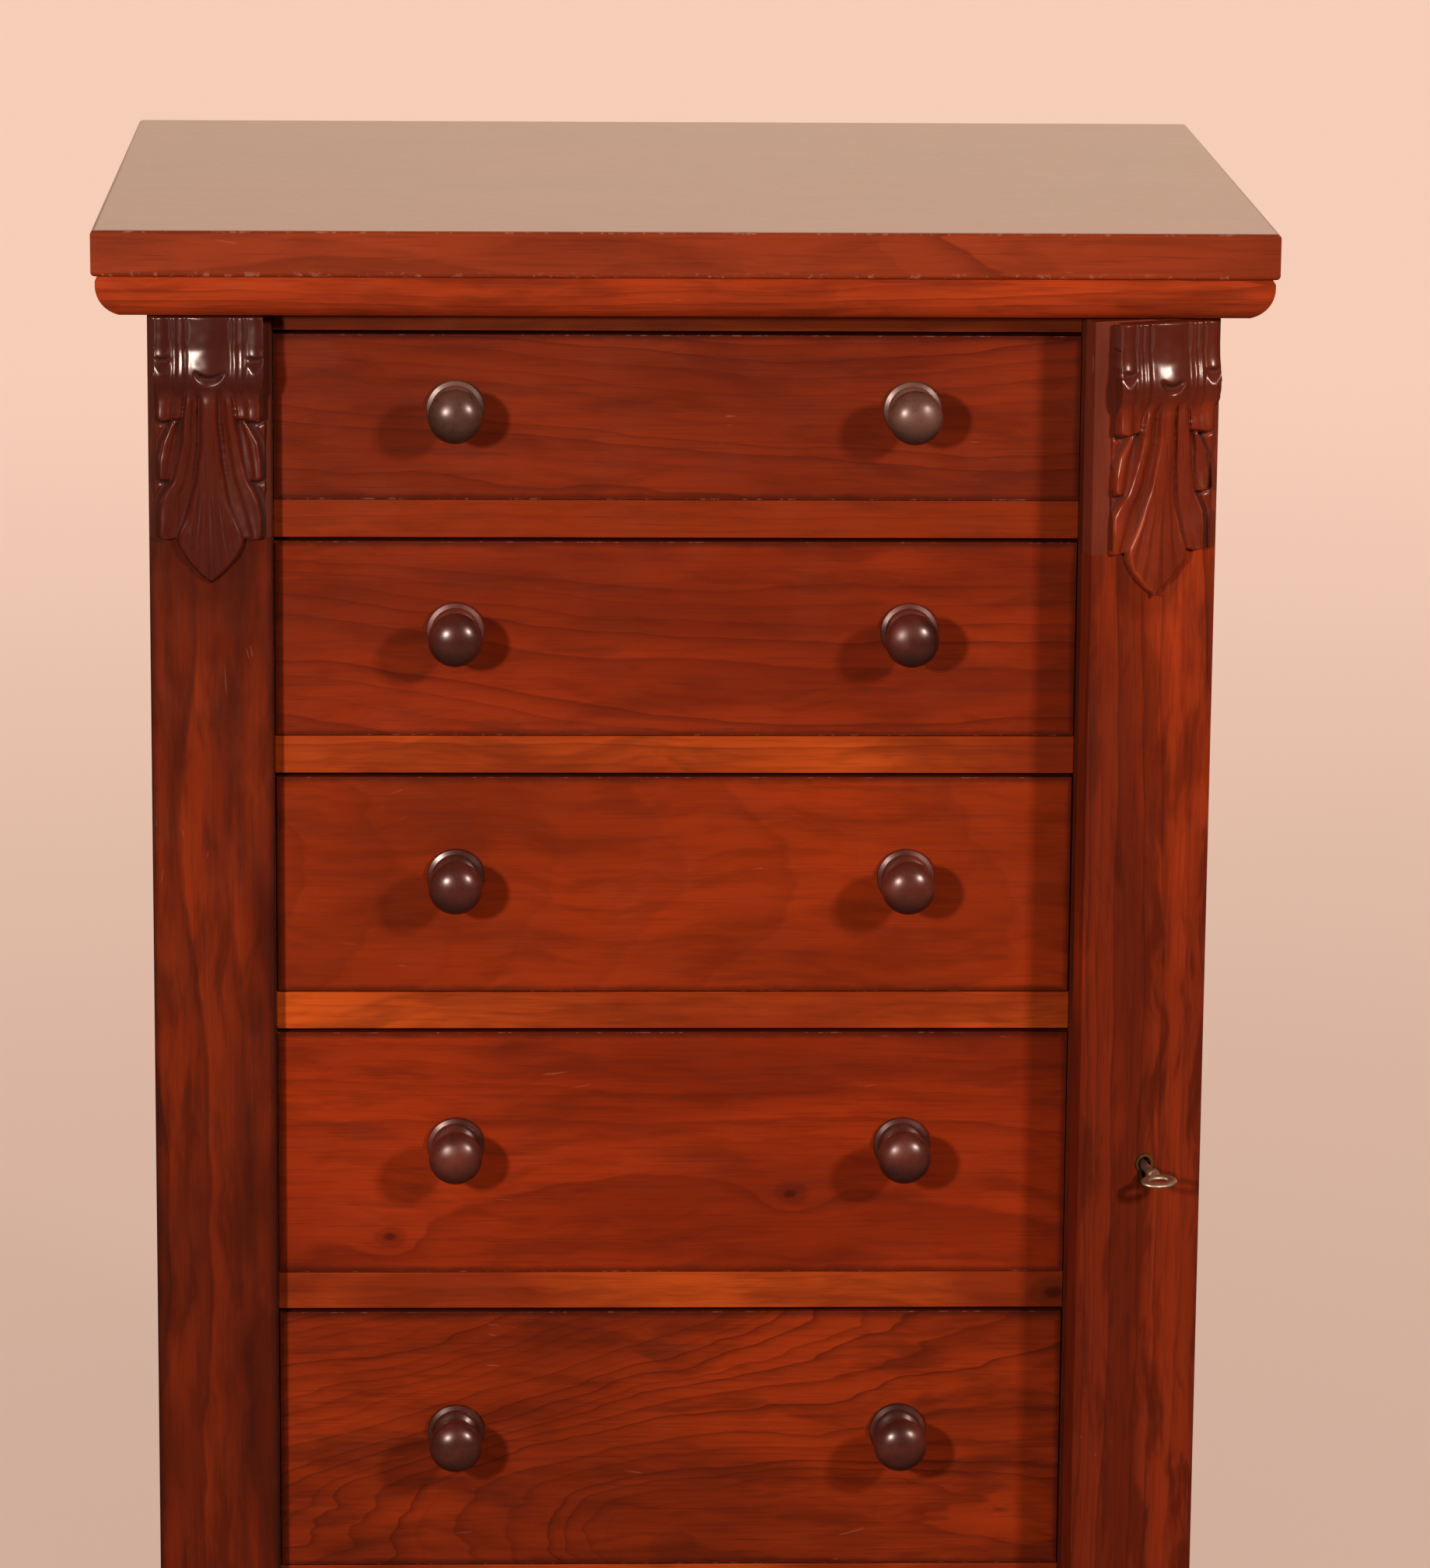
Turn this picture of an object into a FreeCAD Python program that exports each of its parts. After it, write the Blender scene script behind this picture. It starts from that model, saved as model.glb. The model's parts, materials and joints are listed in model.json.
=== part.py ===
import FreeCAD, Part
from FreeCAD import Vector

import math
import os

# Wellington chest: a tall narrow chest of drawers whose right-hand stile is a pivoted
# flap that laps the drawer ends and locks them all with one key.
# While it is being drawn, X runs to the right, Y runs to the back with zero at the faces
# of the drawers, and Z runs up from the floor. The last step moves the origin to the
# middle of the whole object's depth.

# Whole height and carcase
total_height = 1019.0
carcase_width = 556.0
carcase_depth = 425.0
side_thickness = 18.0
back_thickness = 10.0
back_rebate = 9.0
back_board_count = 3
back_board_gap = 1.0
frame_thickness = 28.0
frieze_height = 21.5
top_rail_height = 11.5
back_rail_depth = 30.0
rail_height = 20.0
rail_tenon_length = 12.0
rail_tenon_thickness = 8.0
rail_tenon_shoulder = 3.0
joint_clearance = 0.15

# Heights of the drawer openings as shares of what the rails leave, from the top one down
drawer_opening_shares = [0.1187, 0.1413, 0.1587, 0.18, 0.1933, 0.208]

# Top board and the ovolo moulding under it
top_thickness = 24.0
top_overhang = 27.0
top_back_overhang = 7.0
top_edge_round = 2.5
moulding_reach = 25.0
moulding_soffit = 13.4
moulding_flat = 2.0
moulding_lip = 1.5
moulding_lip_height = 2.5

# Plinth
plinth_height = 92.0
plinth_reach = 12.0
plinth_thickness = 16.0
plinth_step = 1.5
plinth_ovolo = 9.0
base_rail_height = 22.0
base_rail_width = 60.0

# Left pilaster and the locking stile
pilaster_proud = 12.0
pilaster_width = 64.0
stile_width = 71.6
stile_inset = 2.7
stile_back = 8.0
stile_end_gap = 1.0
stile_post_gap = 0.5
lip_gap = 0.3
pivot_from_edge = 7.0
pivot_behind_front = 10.0
ajar_degrees = 20.0
swing_clearance = 0.35
post_strip_width = 6.0
ornament_from_edge = 33.0

# Centre pivots
pin_radius = 2.5
pin_length = 7.0
pin_clearance = 0.05
pin_end_room = 1.0
collar_radius = 4.0
collar_gap = 0.3
pivot_plate_width = 11.0
pivot_plate_thickness = 2.0
pivot_plate_inner = 17.0
pivot_plate_outer = 4.5
plate_clearance = 0.1

# Lock in the back of the stile, with its bolt and link plate
lock_below_top = 500.0
lock_width = 44.0
lock_height = 64.0
lock_depth = 10.5
lock_wall = 1.5
lock_cap_thickness = 1.4
bolt_thickness = 1.5
bolt_cap_gap = 0.3
bolt_half_width = 9.0
bolt_side_gap = 0.3
bolt_end_gap = 0.2
bolt_throw = 6.0
bolt_head = 2.0
bolt_guide_width = 2.0
bolt_ledge_width = 1.9
talon_half_width = 6.0
talon_reach = 3.6
talon_rise = 6.0
talon_height = 2.0
loop_offset = 20.0
loop_half_width = 3.5
loop_half_height = 1.5
loop_bar = 2.0
loop_reach = 7.0
loop_eye_half_width = 2.0
loop_back_bar = 1.0
loop_room = 0.5
slot_half_width = 6.5
finger_half_width = 1.4
finger_gap = 0.7
link_plate_width = 20.0
link_plate_end = 10.0
link_plate_thickness = 2.0

# Keyhole, escutcheon and key
keyhole_radius = 3.7
keyhole_slit_width = 2.8
keyhole_slit_drop = 8.6
escutcheon_rim = 1.55
escutcheon_leg = 2.4
escutcheon_thickness = 1.2
escutcheon_proud = 0.4
key_radius = 2.3
key_droop_degrees = 12.0
key_tip_inside = 3.3
key_shank_outside = 9.6
key_collar_radius = 3.6
key_collar_length = 3.0
key_bow_width = 20.0
key_bow_length = 14.0
key_bow_rim = 3.4
key_bow_thickness = 2.6
key_bow_sink = 1.0
bow_flats = 24
bit_length = 6.0
bit_depth = 2.4
bit_tip_back = 0.1
bit_thickness = 2.0

# Carved corbels on the pilaster and on the stile
corbel_width = 56.5
corbel_drop_left = 141.0
corbel_drop_right = 145.0
corbel_scroll_height = 36.0
corbel_scroll_shoulder = 8.0
corbel_scroll_reach = 12.0
corbel_scroll_curl = 6.5
corbel_scroll_toe = 4.5
corbel_belly_share = 0.42
corbel_leaf_rise = 5.5
corbel_top_gap = 0.5
# The leaf's right-hand outline: half widths as shares of the corbel's half width, and
# drops as shares of its whole drop. Each lobe ends in a step towards the middle.
leaf_outline_shares = [
    (0.97, 0.24), (0.97, 0.385), (0.86, 0.397), (0.62, 0.392),
    (0.98, 0.585), (0.95, 0.61), (0.62, 0.605),
    (0.86, 0.80), (0.82, 0.828), (0.58, 0.82),
    (0.36, 0.93), (0.12, 0.99),
]
leaf_crest_share = 0.8

# Drawers
front_thickness = 20.0
drawer_top_gap = 2.0
drawer_slide_gap = 0.3
drawer_side_gap = 0.4
drawer_side_thickness = 10.0
drawer_back_thickness = 10.0
drawer_back_room = 13.0
drawer_back_drop = 6.0
drawer_bottom_thickness = 6.0
drawer_bottom_rise = 8.0
groove_depth = 5.0
groove_clearance = 0.2
front_lap = 6.0
tail_pitch = 34.0
fewest_tails = 2
tail_slope = 7.0
tail_share = 0.58
back_tail_count = 2
half_step = 0.5

# Turned knobs
knob_spread = 119.0
knob_above_middle = 4.5
knob_ball_radius = 14.2
knob_ball_out = 27.0
knob_front_depth = 8.6
knob_back_depth = 12.5
knob_collar_radius = 15.3
knob_collar_height = 3.4
knob_collar_bevel = 0.9
knob_ring_radius = 12.8
knob_ring_height = 2.6
knob_neck_radius = 7.6
knob_spigot_radius = 7.0
knob_spigot_length = 19.0
knob_hole_clearance = 0.15
knob_nose_radius = 2.5
knob_ball_bands = 6
turning_flats = 16

# Runners, kickers, guides and stops
runner_under_drawer = 24.0
runner_back_gap = 5.0
guide_height = 22.0
stop_width = 30.0
stop_height = 5.0
stop_gap = 0.2
stop_inset = 95.0

# One overrun serves all cuts
overrun = 1.0

# Places that follow from the sizes above
half_width = carcase_width / 2
inner_half = half_width - side_thickness
back_inner = carcase_depth - back_thickness
floor_level = plinth_height + rail_height
frieze_top = total_height - top_thickness
frieze_bottom = frieze_top - frieze_height
drawer_count = len(drawer_opening_shares)
stack_height = frieze_bottom - top_rail_height - floor_level
all_openings = stack_height - rail_height * (drawer_count - 1)
drawer_openings = [all_openings * share for share in drawer_opening_shares]
pilaster_inner = -half_width + pilaster_width

stile_outer = half_width - stile_inset
stile_inner = stile_outer - stile_width
pivot_x = stile_outer - pivot_from_edge
pivot_y = -pilaster_proud + pivot_behind_front
ajar = math.radians(ajar_degrees)
stile_swing_width = pivot_x - stile_inner
lip_behind_pivot = -lip_gap - pivot_y
back_behind_pivot = stile_back - pivot_y

# With the stile ajar, the back corner of its lip just clears the ends of the drawers
ajar_lip_x = pivot_x - stile_swing_width * math.cos(ajar) - lip_behind_pivot * math.sin(ajar)
drawer_right = ajar_lip_x - swing_clearance
drawer_left = pilaster_inner + drawer_side_gap
opening_right = drawer_right + drawer_side_gap

# The thick part of the stile swings past the strip that closes the gap beside the drawers
strip_right = opening_right + post_strip_width
stile_rebate_radius = pivot_x - strip_right - swing_clearance
stile_rebate_x = pivot_x - math.sqrt(stile_rebate_radius ** 2 - back_behind_pivot ** 2)
post_face = stile_back + stile_post_gap

stile_centre = stile_outer - ornament_from_edge
lock_level = total_height - lock_below_top
lock_front = stile_back - lock_depth
bolt_back = stile_back - lock_cap_thickness - bolt_cap_gap
bolt_front = bolt_back - bolt_thickness

drawer_depth = back_inner - drawer_back_room


def opening_levels():
    """Bottom and top of each drawer opening, from the top drawer down."""
    levels = []
    top = frieze_bottom - top_rail_height
    for height in drawer_openings:
        levels.append((top - height, top))
        top = top - height - rail_height
    return levels


def block(x, y, z):
    """A board between two X, two Y and two Z places."""
    corner = Vector(x[0], y[0], z[0])
    return Part.makeBox(x[1] - x[0], y[1] - y[0], z[1] - z[0], corner)


def rod(radius, start, direction, length):
    return Part.makeCylinder(radius, length, start, direction)


def prism(points, along):
    """A solid from a flat outline pushed along a vector."""
    wire = Part.makePolygon(points + [points[0]])
    return Part.Face(wire).extrude(along)


def mirrored(shape):
    return shape.mirror(Vector(0, 0, 0), Vector(1, 0, 0))


def swung(shape, degrees):
    """A copy turned about the locking stile's pivots, positive to open it."""
    turned = shape.copy()
    turned.rotate(Vector(pivot_x, pivot_y, 0), Vector(0, 0, 1), degrees)
    return turned


# Top board, moulding and rails under it

def top_board():
    x = half_width + top_overhang
    front = -pilaster_proud - top_overhang
    back = carcase_depth + top_back_overhang
    board = block((-x, x), (front, back), (frieze_top, total_height))
    edges = []
    for edge in board.Edges:
        middle = edge.CenterOfMass
        level = abs(middle.z - frieze_top) < overrun or abs(middle.z - total_height) < overrun
        if level and middle.y < back - overrun:
            edges.append(edge)
    return board.makeFillet(top_edge_round, edges)


def moulding_section(place):
    """The ovolo under the top: soffit, quarter round, short flat and a softened lip."""
    spring = frieze_height - moulding_lip_height - moulding_flat
    depth = moulding_reach - moulding_soffit
    radius = (spring ** 2 + depth ** 2) / (2 * depth)
    half_turn = math.asin(spring / radius) / 2
    belly_in = moulding_reach - radius * (1 - math.cos(half_turn))
    foot = place(0, 0)
    toe = place(moulding_soffit, 0)
    belly = place(belly_in, spring - radius * math.sin(half_turn))
    shoulder = place(moulding_reach, spring)
    crown = place(moulding_reach, spring + moulding_flat)
    lip = place(moulding_reach - moulding_lip, frieze_height)
    head = place(0, frieze_height)
    edges = [
        Part.LineSegment(foot, toe).toShape(),
        Part.Arc(toe, belly, shoulder).toShape(),
        Part.LineSegment(shoulder, crown).toShape(),
        Part.LineSegment(crown, lip).toShape(),
        Part.LineSegment(lip, head).toShape(),
        Part.LineSegment(head, foot).toShape(),
    ]
    return Part.Face(Part.Wire(edges))


def plinth_section(place):
    """A plinth board whose top edge is worked with a step and an ovolo."""
    top = plinth_height
    step = plinth_step
    outer = plinth_reach
    inner = plinth_reach - plinth_thickness
    spring = top - step - plinth_ovolo
    bulge = math.sqrt(2) / 2
    heel = place(inner, 0)
    toe = place(outer, 0)
    ledge = place(outer, spring - step)
    shelf = place(outer - step, spring - step)
    shoulder = place(outer - step, spring)
    side = outer - step - plinth_ovolo
    belly = place(side + plinth_ovolo * bulge, spring + plinth_ovolo * bulge)
    crest = place(side, spring + plinth_ovolo)
    crown = place(side, top)
    head = place(inner, top)
    edges = [
        Part.LineSegment(heel, toe).toShape(),
        Part.LineSegment(toe, ledge).toShape(),
        Part.LineSegment(ledge, shelf).toShape(),
        Part.LineSegment(shelf, shoulder).toShape(),
        Part.Arc(shoulder, belly, crest).toShape(),
        Part.LineSegment(crest, crown).toShape(),
        Part.LineSegment(crown, head).toShape(),
        Part.LineSegment(head, heel).toShape(),
    ]
    return Part.Face(Part.Wire(edges))


def beyond_mitre(reach, base, height):
    """The space of the right-hand side length, behind the mitre of the front corner."""
    reach = reach + overrun
    corner = (half_width, -pilaster_proud)
    outline = [
        (corner[0] + reach, corner[1] - reach),
        (corner[0] + reach, carcase_depth),
        (corner[0] - reach, carcase_depth),
        (corner[0] - reach, corner[1] + reach),
    ]
    points = [Vector(x, y, base - overrun) for x, y in outline]
    return prism(points, Vector(0, 0, height + 2 * overrun))


def front_length(section, base, height, reach):
    """A moulded length across the front, mitred at both ends."""
    end = half_width + reach

    def place(out, up):
        return Vector(-end, -pilaster_proud - out, base + up)

    length = section(place).extrude(Vector(2 * end, 0, 0))
    space = beyond_mitre(reach, base, height)
    return length.cut(space).cut(mirrored(space))


def side_length(section, base, height, reach):
    """A moulded length along the right side, mitred at the front."""
    start = -pilaster_proud - reach

    def place(out, up):
        return Vector(half_width + out, start, base + up)

    length = section(place).extrude(Vector(0, carcase_depth - start, 0))
    return length.common(beyond_mitre(reach, base, height))


def top_moulding():
    """Front length and two side lengths, mitred at the corners."""
    front = front_length(moulding_section, frieze_bottom, frieze_height, moulding_reach)
    right = side_length(moulding_section, frieze_bottom, frieze_height, moulding_reach)
    return Part.makeCompound([front, mirrored(right), right])


def plinth_front():
    return front_length(plinth_section, 0, plinth_height, plinth_reach)


def plinth_sides():
    right = side_length(plinth_section, 0, plinth_height, plinth_reach)
    return Part.makeCompound([mirrored(right), right])


def plinth_inner():
    return half_width + plinth_reach - plinth_thickness


def plinth_back():
    x = plinth_inner()
    return block((-x, x), (carcase_depth - plinth_thickness, carcase_depth), (0, plinth_height))


def base_frame():
    """Four rails inside the plinth, level with its top, that carry the carcase."""
    x = plinth_inner()
    z = (plinth_height - base_rail_height, plinth_height)
    front = -pilaster_proud - plinth_reach + plinth_thickness
    back = carcase_depth - plinth_thickness
    front_rail = block((-x, x), (front, front + base_rail_width), z)
    front_rail = front_rail.cut(socket_recess(False))
    back_rail = block((-x, x), (back - base_rail_width, back), z)
    y = (front + base_rail_width, back - base_rail_width)
    left_rail = block((-x, -x + base_rail_width), y, z)
    right_rail = mirrored(left_rail)
    return Part.makeCompound([front_rail, back_rail, left_rail, right_rail])


def frieze_box():
    y = (-pilaster_proud, frame_thickness)
    return block((-half_width, half_width), y, (frieze_bottom, frieze_top))


def top_rails():
    """Front rail behind the moulding and the plain rail at the back."""
    front = frieze_box().cut(socket_recess(True))
    y = (back_inner - back_rail_depth, back_inner)
    back = block((-inner_half, inner_half), y, (frieze_bottom, frieze_top))
    return Part.makeCompound([front, back])


# Carcase

def carcase_side(sign):
    front = 0 if sign < 0 else post_face
    side = block((inner_half, half_width), (front, carcase_depth), (plinth_height, frieze_top))
    rebate = block(
        (inner_half - overrun, inner_half + back_rebate),
        (back_inner, carcase_depth + overrun),
        (plinth_height - overrun, frieze_top + overrun),
    )
    side = side.cut(rebate).cut(frieze_box())
    return side if sign > 0 else mirrored(side)


def back_boards():
    x = inner_half + back_rebate
    width = (2 * x - back_board_gap * (back_board_count - 1)) / back_board_count
    boards = []
    for index in range(back_board_count):
        left = -x + index * (width + back_board_gap)
        boards.append(
            block((left, left + width), (back_inner, carcase_depth), (plinth_height, frieze_top))
        )
    return Part.makeCompound(boards)


def bottom_board():
    """The carcase floor, behind the lowest rail."""
    y = (frame_thickness, back_inner)
    return block((-inner_half, inner_half), y, (plinth_height, floor_level))


def rail_tenons(z, clearance):
    """Stub tenons at both ends of a rail between z levels."""
    middle = (post_face + frame_thickness) / 2
    y = (middle - rail_tenon_thickness / 2 - clearance, middle + rail_tenon_thickness / 2 + clearance)
    levels = (z[0] + rail_tenon_shoulder - clearance, z[1] - rail_tenon_shoulder + clearance)
    length = rail_tenon_length + clearance
    x = (pilaster_inner - length, opening_right + length)
    return block(x, y, levels)


def rail_levels():
    """Bottom and top of every front rail, from the thin top one down to the floor's."""
    levels = [(frieze_bottom - top_rail_height, frieze_bottom)]
    for low, high in opening_levels():
        levels.append((low - rail_height, low))
    return levels


def drawer_rails():
    rails = []
    for z in rail_levels():
        rail = block((pilaster_inner, opening_right), (0, frame_thickness), z)
        rails.append(rail.fuse(rail_tenons(z, 0)).removeSplitter())
    return Part.makeCompound(rails)


def frame_stile(x, y):
    stile = block(x, y, (plinth_height, frieze_bottom))
    for z in rail_levels():
        stile = stile.cut(rail_tenons(z, joint_clearance))
    return stile


def left_frame_stile():
    return frame_stile((-inner_half, pilaster_inner), (0, frame_thickness))


def right_frame_stile():
    """Post behind the locking stile, and a strip glued to its edge beside the drawers."""
    post = frame_stile((opening_right, inner_half), (post_face, frame_thickness))
    strip = frame_stile((opening_right, strip_right), (0, post_face))
    return Part.makeCompound([post.cut(link_plate_body(plate_clearance)), strip])


def left_pilaster():
    return block(
        (-half_width, pilaster_inner), (-pilaster_proud, 0), (plinth_height, frieze_bottom)
    )


def runner_pair(z):
    y = (frame_thickness, back_inner - runner_back_gap)
    left = block((-inner_half, drawer_left + runner_under_drawer), y, z)
    right = block((drawer_right - runner_under_drawer, inner_half), y, z)
    return [left, right]


def drawer_runners():
    """Kickers over the top drawer, and runners behind every rail above the floor."""
    runners = []
    for z in rail_levels()[:-1]:
        runners += runner_pair(z)
    return Part.makeCompound(runners)


def drawer_guides():
    guides = []
    y = (frame_thickness, back_inner - runner_back_gap)
    for low, high in opening_levels():
        z = (low, low + guide_height)
        guides.append(block((-inner_half, pilaster_inner), y, z))
        guides.append(block((opening_right, inner_half), y, z))
    return Part.makeCompound(guides)


def drawer_stops():
    """Two small blocks on each rail, behind the drawer front."""
    stops = []
    y = (front_thickness + stop_gap, frame_thickness)
    for low, high in opening_levels():
        z = (low, low + stop_height)
        left = drawer_left + stop_inset
        right = drawer_right - stop_inset
        stops.append(block((left, left + stop_width), y, z))
        stops.append(block((right - stop_width, right), y, z))
    return Part.makeCompound(stops)


# Drawers

def drawer_box(index):
    """Bottom and top of one drawer."""
    low, high = opening_levels()[index]
    return low + drawer_slide_gap, high - drawer_top_gap


def tail_prisms(x, y_wide, y_narrow, z, count):
    """Dovetails across a drawer side: wide at one end, narrow where they spring."""
    pitch = (z[1] - z[0]) / count
    wide = pitch * tail_share
    narrow = wide - 2 * abs(y_wide - y_narrow) / tail_slope
    tails = []
    for number in range(count):
        middle = z[0] + pitch * (number + half_step)
        points = [
            Vector(x[0], y_narrow, middle - narrow / 2),
            Vector(x[0], y_wide, middle - wide / 2),
            Vector(x[0], y_wide, middle + wide / 2),
            Vector(x[0], y_narrow, middle + narrow / 2),
        ]
        tails.append(prism(points, Vector(x[1] - x[0], 0, 0)))
    return tails


def tail_count(z):
    return max(fewest_tails, round((z[1] - z[0]) / tail_pitch))


def side_places():
    """X of the left and of the right drawer side."""
    left = (drawer_left, drawer_left + drawer_side_thickness)
    right = (drawer_right - drawer_side_thickness, drawer_right)
    return [left, right]


def front_tails(x, z):
    return tail_prisms(x, front_lap, front_thickness, z, tail_count(z))


def back_levels(z):
    """Bottom and top of the drawer back, which stands on the bottom panel."""
    return z[0] + drawer_bottom_rise + drawer_bottom_thickness, z[1] - drawer_back_drop


def back_pins(x, z):
    y_inner = drawer_depth - drawer_back_thickness
    return tail_prisms(x, drawer_depth, y_inner, back_levels(z), back_tail_count)


def bottom_space(z, clearance):
    """The bottom panel's own space, or with a clearance its grooves in sides and front."""
    low = z[0] + drawer_bottom_rise
    levels = (low, low + drawer_bottom_thickness + clearance)
    depth = groove_depth - groove_clearance + clearance
    inner = (side_places()[0][1], side_places()[1][0])
    main = block((inner[0] - depth, inner[1] + depth), (front_thickness, drawer_depth), levels)
    tongue = block(inner, (front_thickness - depth, front_thickness), levels)
    return main.fuse(tongue).removeSplitter()


def drawer_front(index):
    z = drawer_box(index)
    front = block((drawer_left, drawer_right), (0, front_thickness), z)
    for x in side_places():
        for tail in front_tails(x, z):
            front = front.cut(tail)
    front = front.cut(bottom_space(z, groove_clearance))
    for x in (-knob_spread, knob_spread):
        front = front.cut(knob_hole(x, knob_level(index)))
    return front


def drawer_sides(index):
    z = drawer_box(index)
    sides = []
    for x in side_places():
        side = block(x, (front_thickness, drawer_depth), z)
        side = side.cut(bottom_space(z, groove_clearance))
        side = side.cut(back_housing(x, z))
        for tail in front_tails(x, z):
            side = side.fuse(tail)
        sides.append(side.removeSplitter())
    return Part.makeCompound(sides)


def back_housing(x, z):
    """The sockets at the rear end of a side that take the pins of the drawer back."""
    levels = back_levels(z)
    y = (drawer_depth - drawer_back_thickness, drawer_depth)
    space = block(x, y, levels)
    for tail in back_pins(x, z):
        space = space.cut(tail)
    return space


def drawer_back(index):
    z = drawer_box(index)
    levels = back_levels(z)
    y = (drawer_depth - drawer_back_thickness, drawer_depth)
    back = block((side_places()[0][1], side_places()[1][0]), y, levels)
    for x in side_places():
        back = back.fuse(back_housing(x, z))
    return back.removeSplitter()


def drawer_bottom(index):
    return bottom_space(drawer_box(index), 0)


def knob_level(index):
    low, high = drawer_box(index)
    return (low + high) / 2 + knob_above_middle


def even_ring(x, y, z, radius):
    """Points evenly round a circle that faces along Y."""
    ring = []
    for number in range(turning_flats):
        angle = 2 * math.pi * (number + half_step) / turning_flats
        ring.append(Vector(x + radius * math.cos(angle), y, z + radius * math.sin(angle)))
    return ring


def banded(rings):
    """A solid of flat bands between rings of points, closed by its first and last ring."""
    faces = [flat(rings[0][::-1]), flat(rings[-1])]
    for near, far in zip(rings, rings[1:]):
        for number in range(len(near)):
            after = (number + 1) % len(near)
            faces.append(flat([near[number], near[after], far[after], far[number]]))
    return Part.Solid(Part.Shell(faces)).removeSplitter()


def turned(outline, x, z):
    """A turning along Y from pairs of radius and distance out."""
    return banded([even_ring(x, -out, z, radius) for radius, out in outline])


def flat(points):
    return Part.Face(Part.makePolygon(points + [points[0]]))


def knob_outline():
    """Radii of a knob from the end of its spigot over collar, ring and neck to the flattened nose."""
    ring_out = knob_collar_height + knob_ring_height
    outline = [
        (knob_spigot_radius, -knob_spigot_length),
        (knob_spigot_radius, 0),
        (knob_collar_radius, 0),
        (knob_collar_radius, knob_collar_height - knob_collar_bevel),
        (knob_collar_radius - knob_collar_bevel, knob_collar_height),
        (knob_ring_radius, knob_collar_height),
        (knob_ring_radius, ring_out),
        (knob_neck_radius, ring_out),
    ]
    first = -math.acos(knob_neck_radius / knob_ball_radius)
    last = math.acos(knob_nose_radius / knob_ball_radius)
    for number in range(knob_ball_bands + 1):
        angle = first + (last - first) * number / knob_ball_bands
        radius = knob_ball_radius * math.cos(angle)
        depth = knob_front_depth if angle > 0 else knob_back_depth
        outline.append((radius, knob_ball_out + depth * math.sin(angle)))
    return outline


def knob(x, z):
    return turned(knob_outline(), x, z)


def knob_hole(x, z):
    radius = knob_spigot_radius + knob_hole_clearance
    return turned([(radius, -front_thickness - overrun), (radius, overrun)], x, z)


def drawer_knobs(index):
    level = knob_level(index)
    return Part.makeCompound([knob(-knob_spread, level), knob(knob_spread, level)])


# Carved corbels

def corbel_scroll(centre, face, top):
    """The convex roll at the head of a corbel, which curls back at its foot."""
    left = centre - corbel_width / 2

    def place(out, drop):
        return Vector(left, face - out, top - drop)

    mid_drop = corbel_scroll_height * corbel_belly_share
    head = place(0, 0)
    brow = place(corbel_scroll_shoulder, 0)
    belly = place(corbel_scroll_reach, mid_drop)
    chin = place(corbel_scroll_curl, corbel_scroll_height)
    curl_mid = (corbel_scroll_curl + corbel_scroll_toe) / 2
    toe = place(curl_mid, corbel_scroll_height + (corbel_scroll_curl - corbel_scroll_toe))
    under = place(0, corbel_scroll_height)
    edges = [
        Part.LineSegment(head, brow).toShape(),
        Part.Arc(brow, belly, chin).toShape(),
        Part.LineSegment(chin, toe).toShape(),
        Part.LineSegment(toe, under).toShape(),
        Part.LineSegment(under, head).toShape(),
    ]
    return Part.Face(Part.Wire(edges)).extrude(Vector(corbel_width, 0, 0))


def leaf_ring(centre, y, top, drop, share):
    """The leaf's outline, drawn in towards its middle by a share of its size."""
    half = corbel_width / 2
    middle = (leaf_outline_shares[0][1] + 1) / 2
    right = []
    left = []
    for wide, down in leaf_outline_shares:
        level = top - drop * (middle + (down - middle) * share)
        right.append(Vector(centre + half * wide * share, y, level))
        left.append(Vector(centre - half * wide * share, y, level))
    tip = Vector(centre, y, top - drop * (middle + (1 - middle) * share))
    return left + [tip] + right[::-1]


def corbel(centre, face, top, drop):
    scroll = corbel_scroll(centre, face, top)
    foot = leaf_ring(centre, face, top, drop, 1)
    crest = leaf_ring(centre, face - corbel_leaf_rise, top, drop, leaf_crest_share)
    return scroll.fuse(banded([foot, crest])).removeSplitter()


def left_corbel():
    top = frieze_bottom - corbel_top_gap
    centre = (-half_width + pilaster_inner) / 2
    return corbel(centre, -pilaster_proud, top, corbel_drop_left)


def right_corbel():
    top = frieze_bottom - stile_end_gap
    return corbel(stile_centre, -pilaster_proud, top, corbel_drop_right)


# Locking stile, drawn closed

def backing_outline():
    """Section across the backing board, whose heel is rounded about the pivots."""
    heel_radius = back_behind_pivot
    heel_y = pivot_y + math.sqrt(heel_radius ** 2 - pivot_from_edge ** 2)
    start = math.pi / 2
    finish = math.atan2(heel_y - pivot_y, pivot_from_edge)
    middle = (start + finish) / 2
    arc_middle = Vector(
        pivot_x + heel_radius * math.cos(middle), pivot_y + heel_radius * math.sin(middle), 0
    )
    inner_front = Vector(stile_rebate_x, -lip_gap, 0)
    inner_back = Vector(stile_rebate_x, stile_back, 0)
    heel_start = Vector(pivot_x, stile_back, 0)
    heel_end = Vector(stile_outer, heel_y, 0)
    outer_front = Vector(stile_outer, -lip_gap, 0)
    edges = [
        Part.LineSegment(inner_front, inner_back).toShape(),
        Part.LineSegment(inner_back, heel_start).toShape(),
        Part.Arc(heel_start, arc_middle, heel_end).toShape(),
        Part.LineSegment(heel_end, outer_front).toShape(),
        Part.LineSegment(outer_front, inner_front).toShape(),
    ]
    return Part.Face(Part.Wire(edges))


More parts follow.
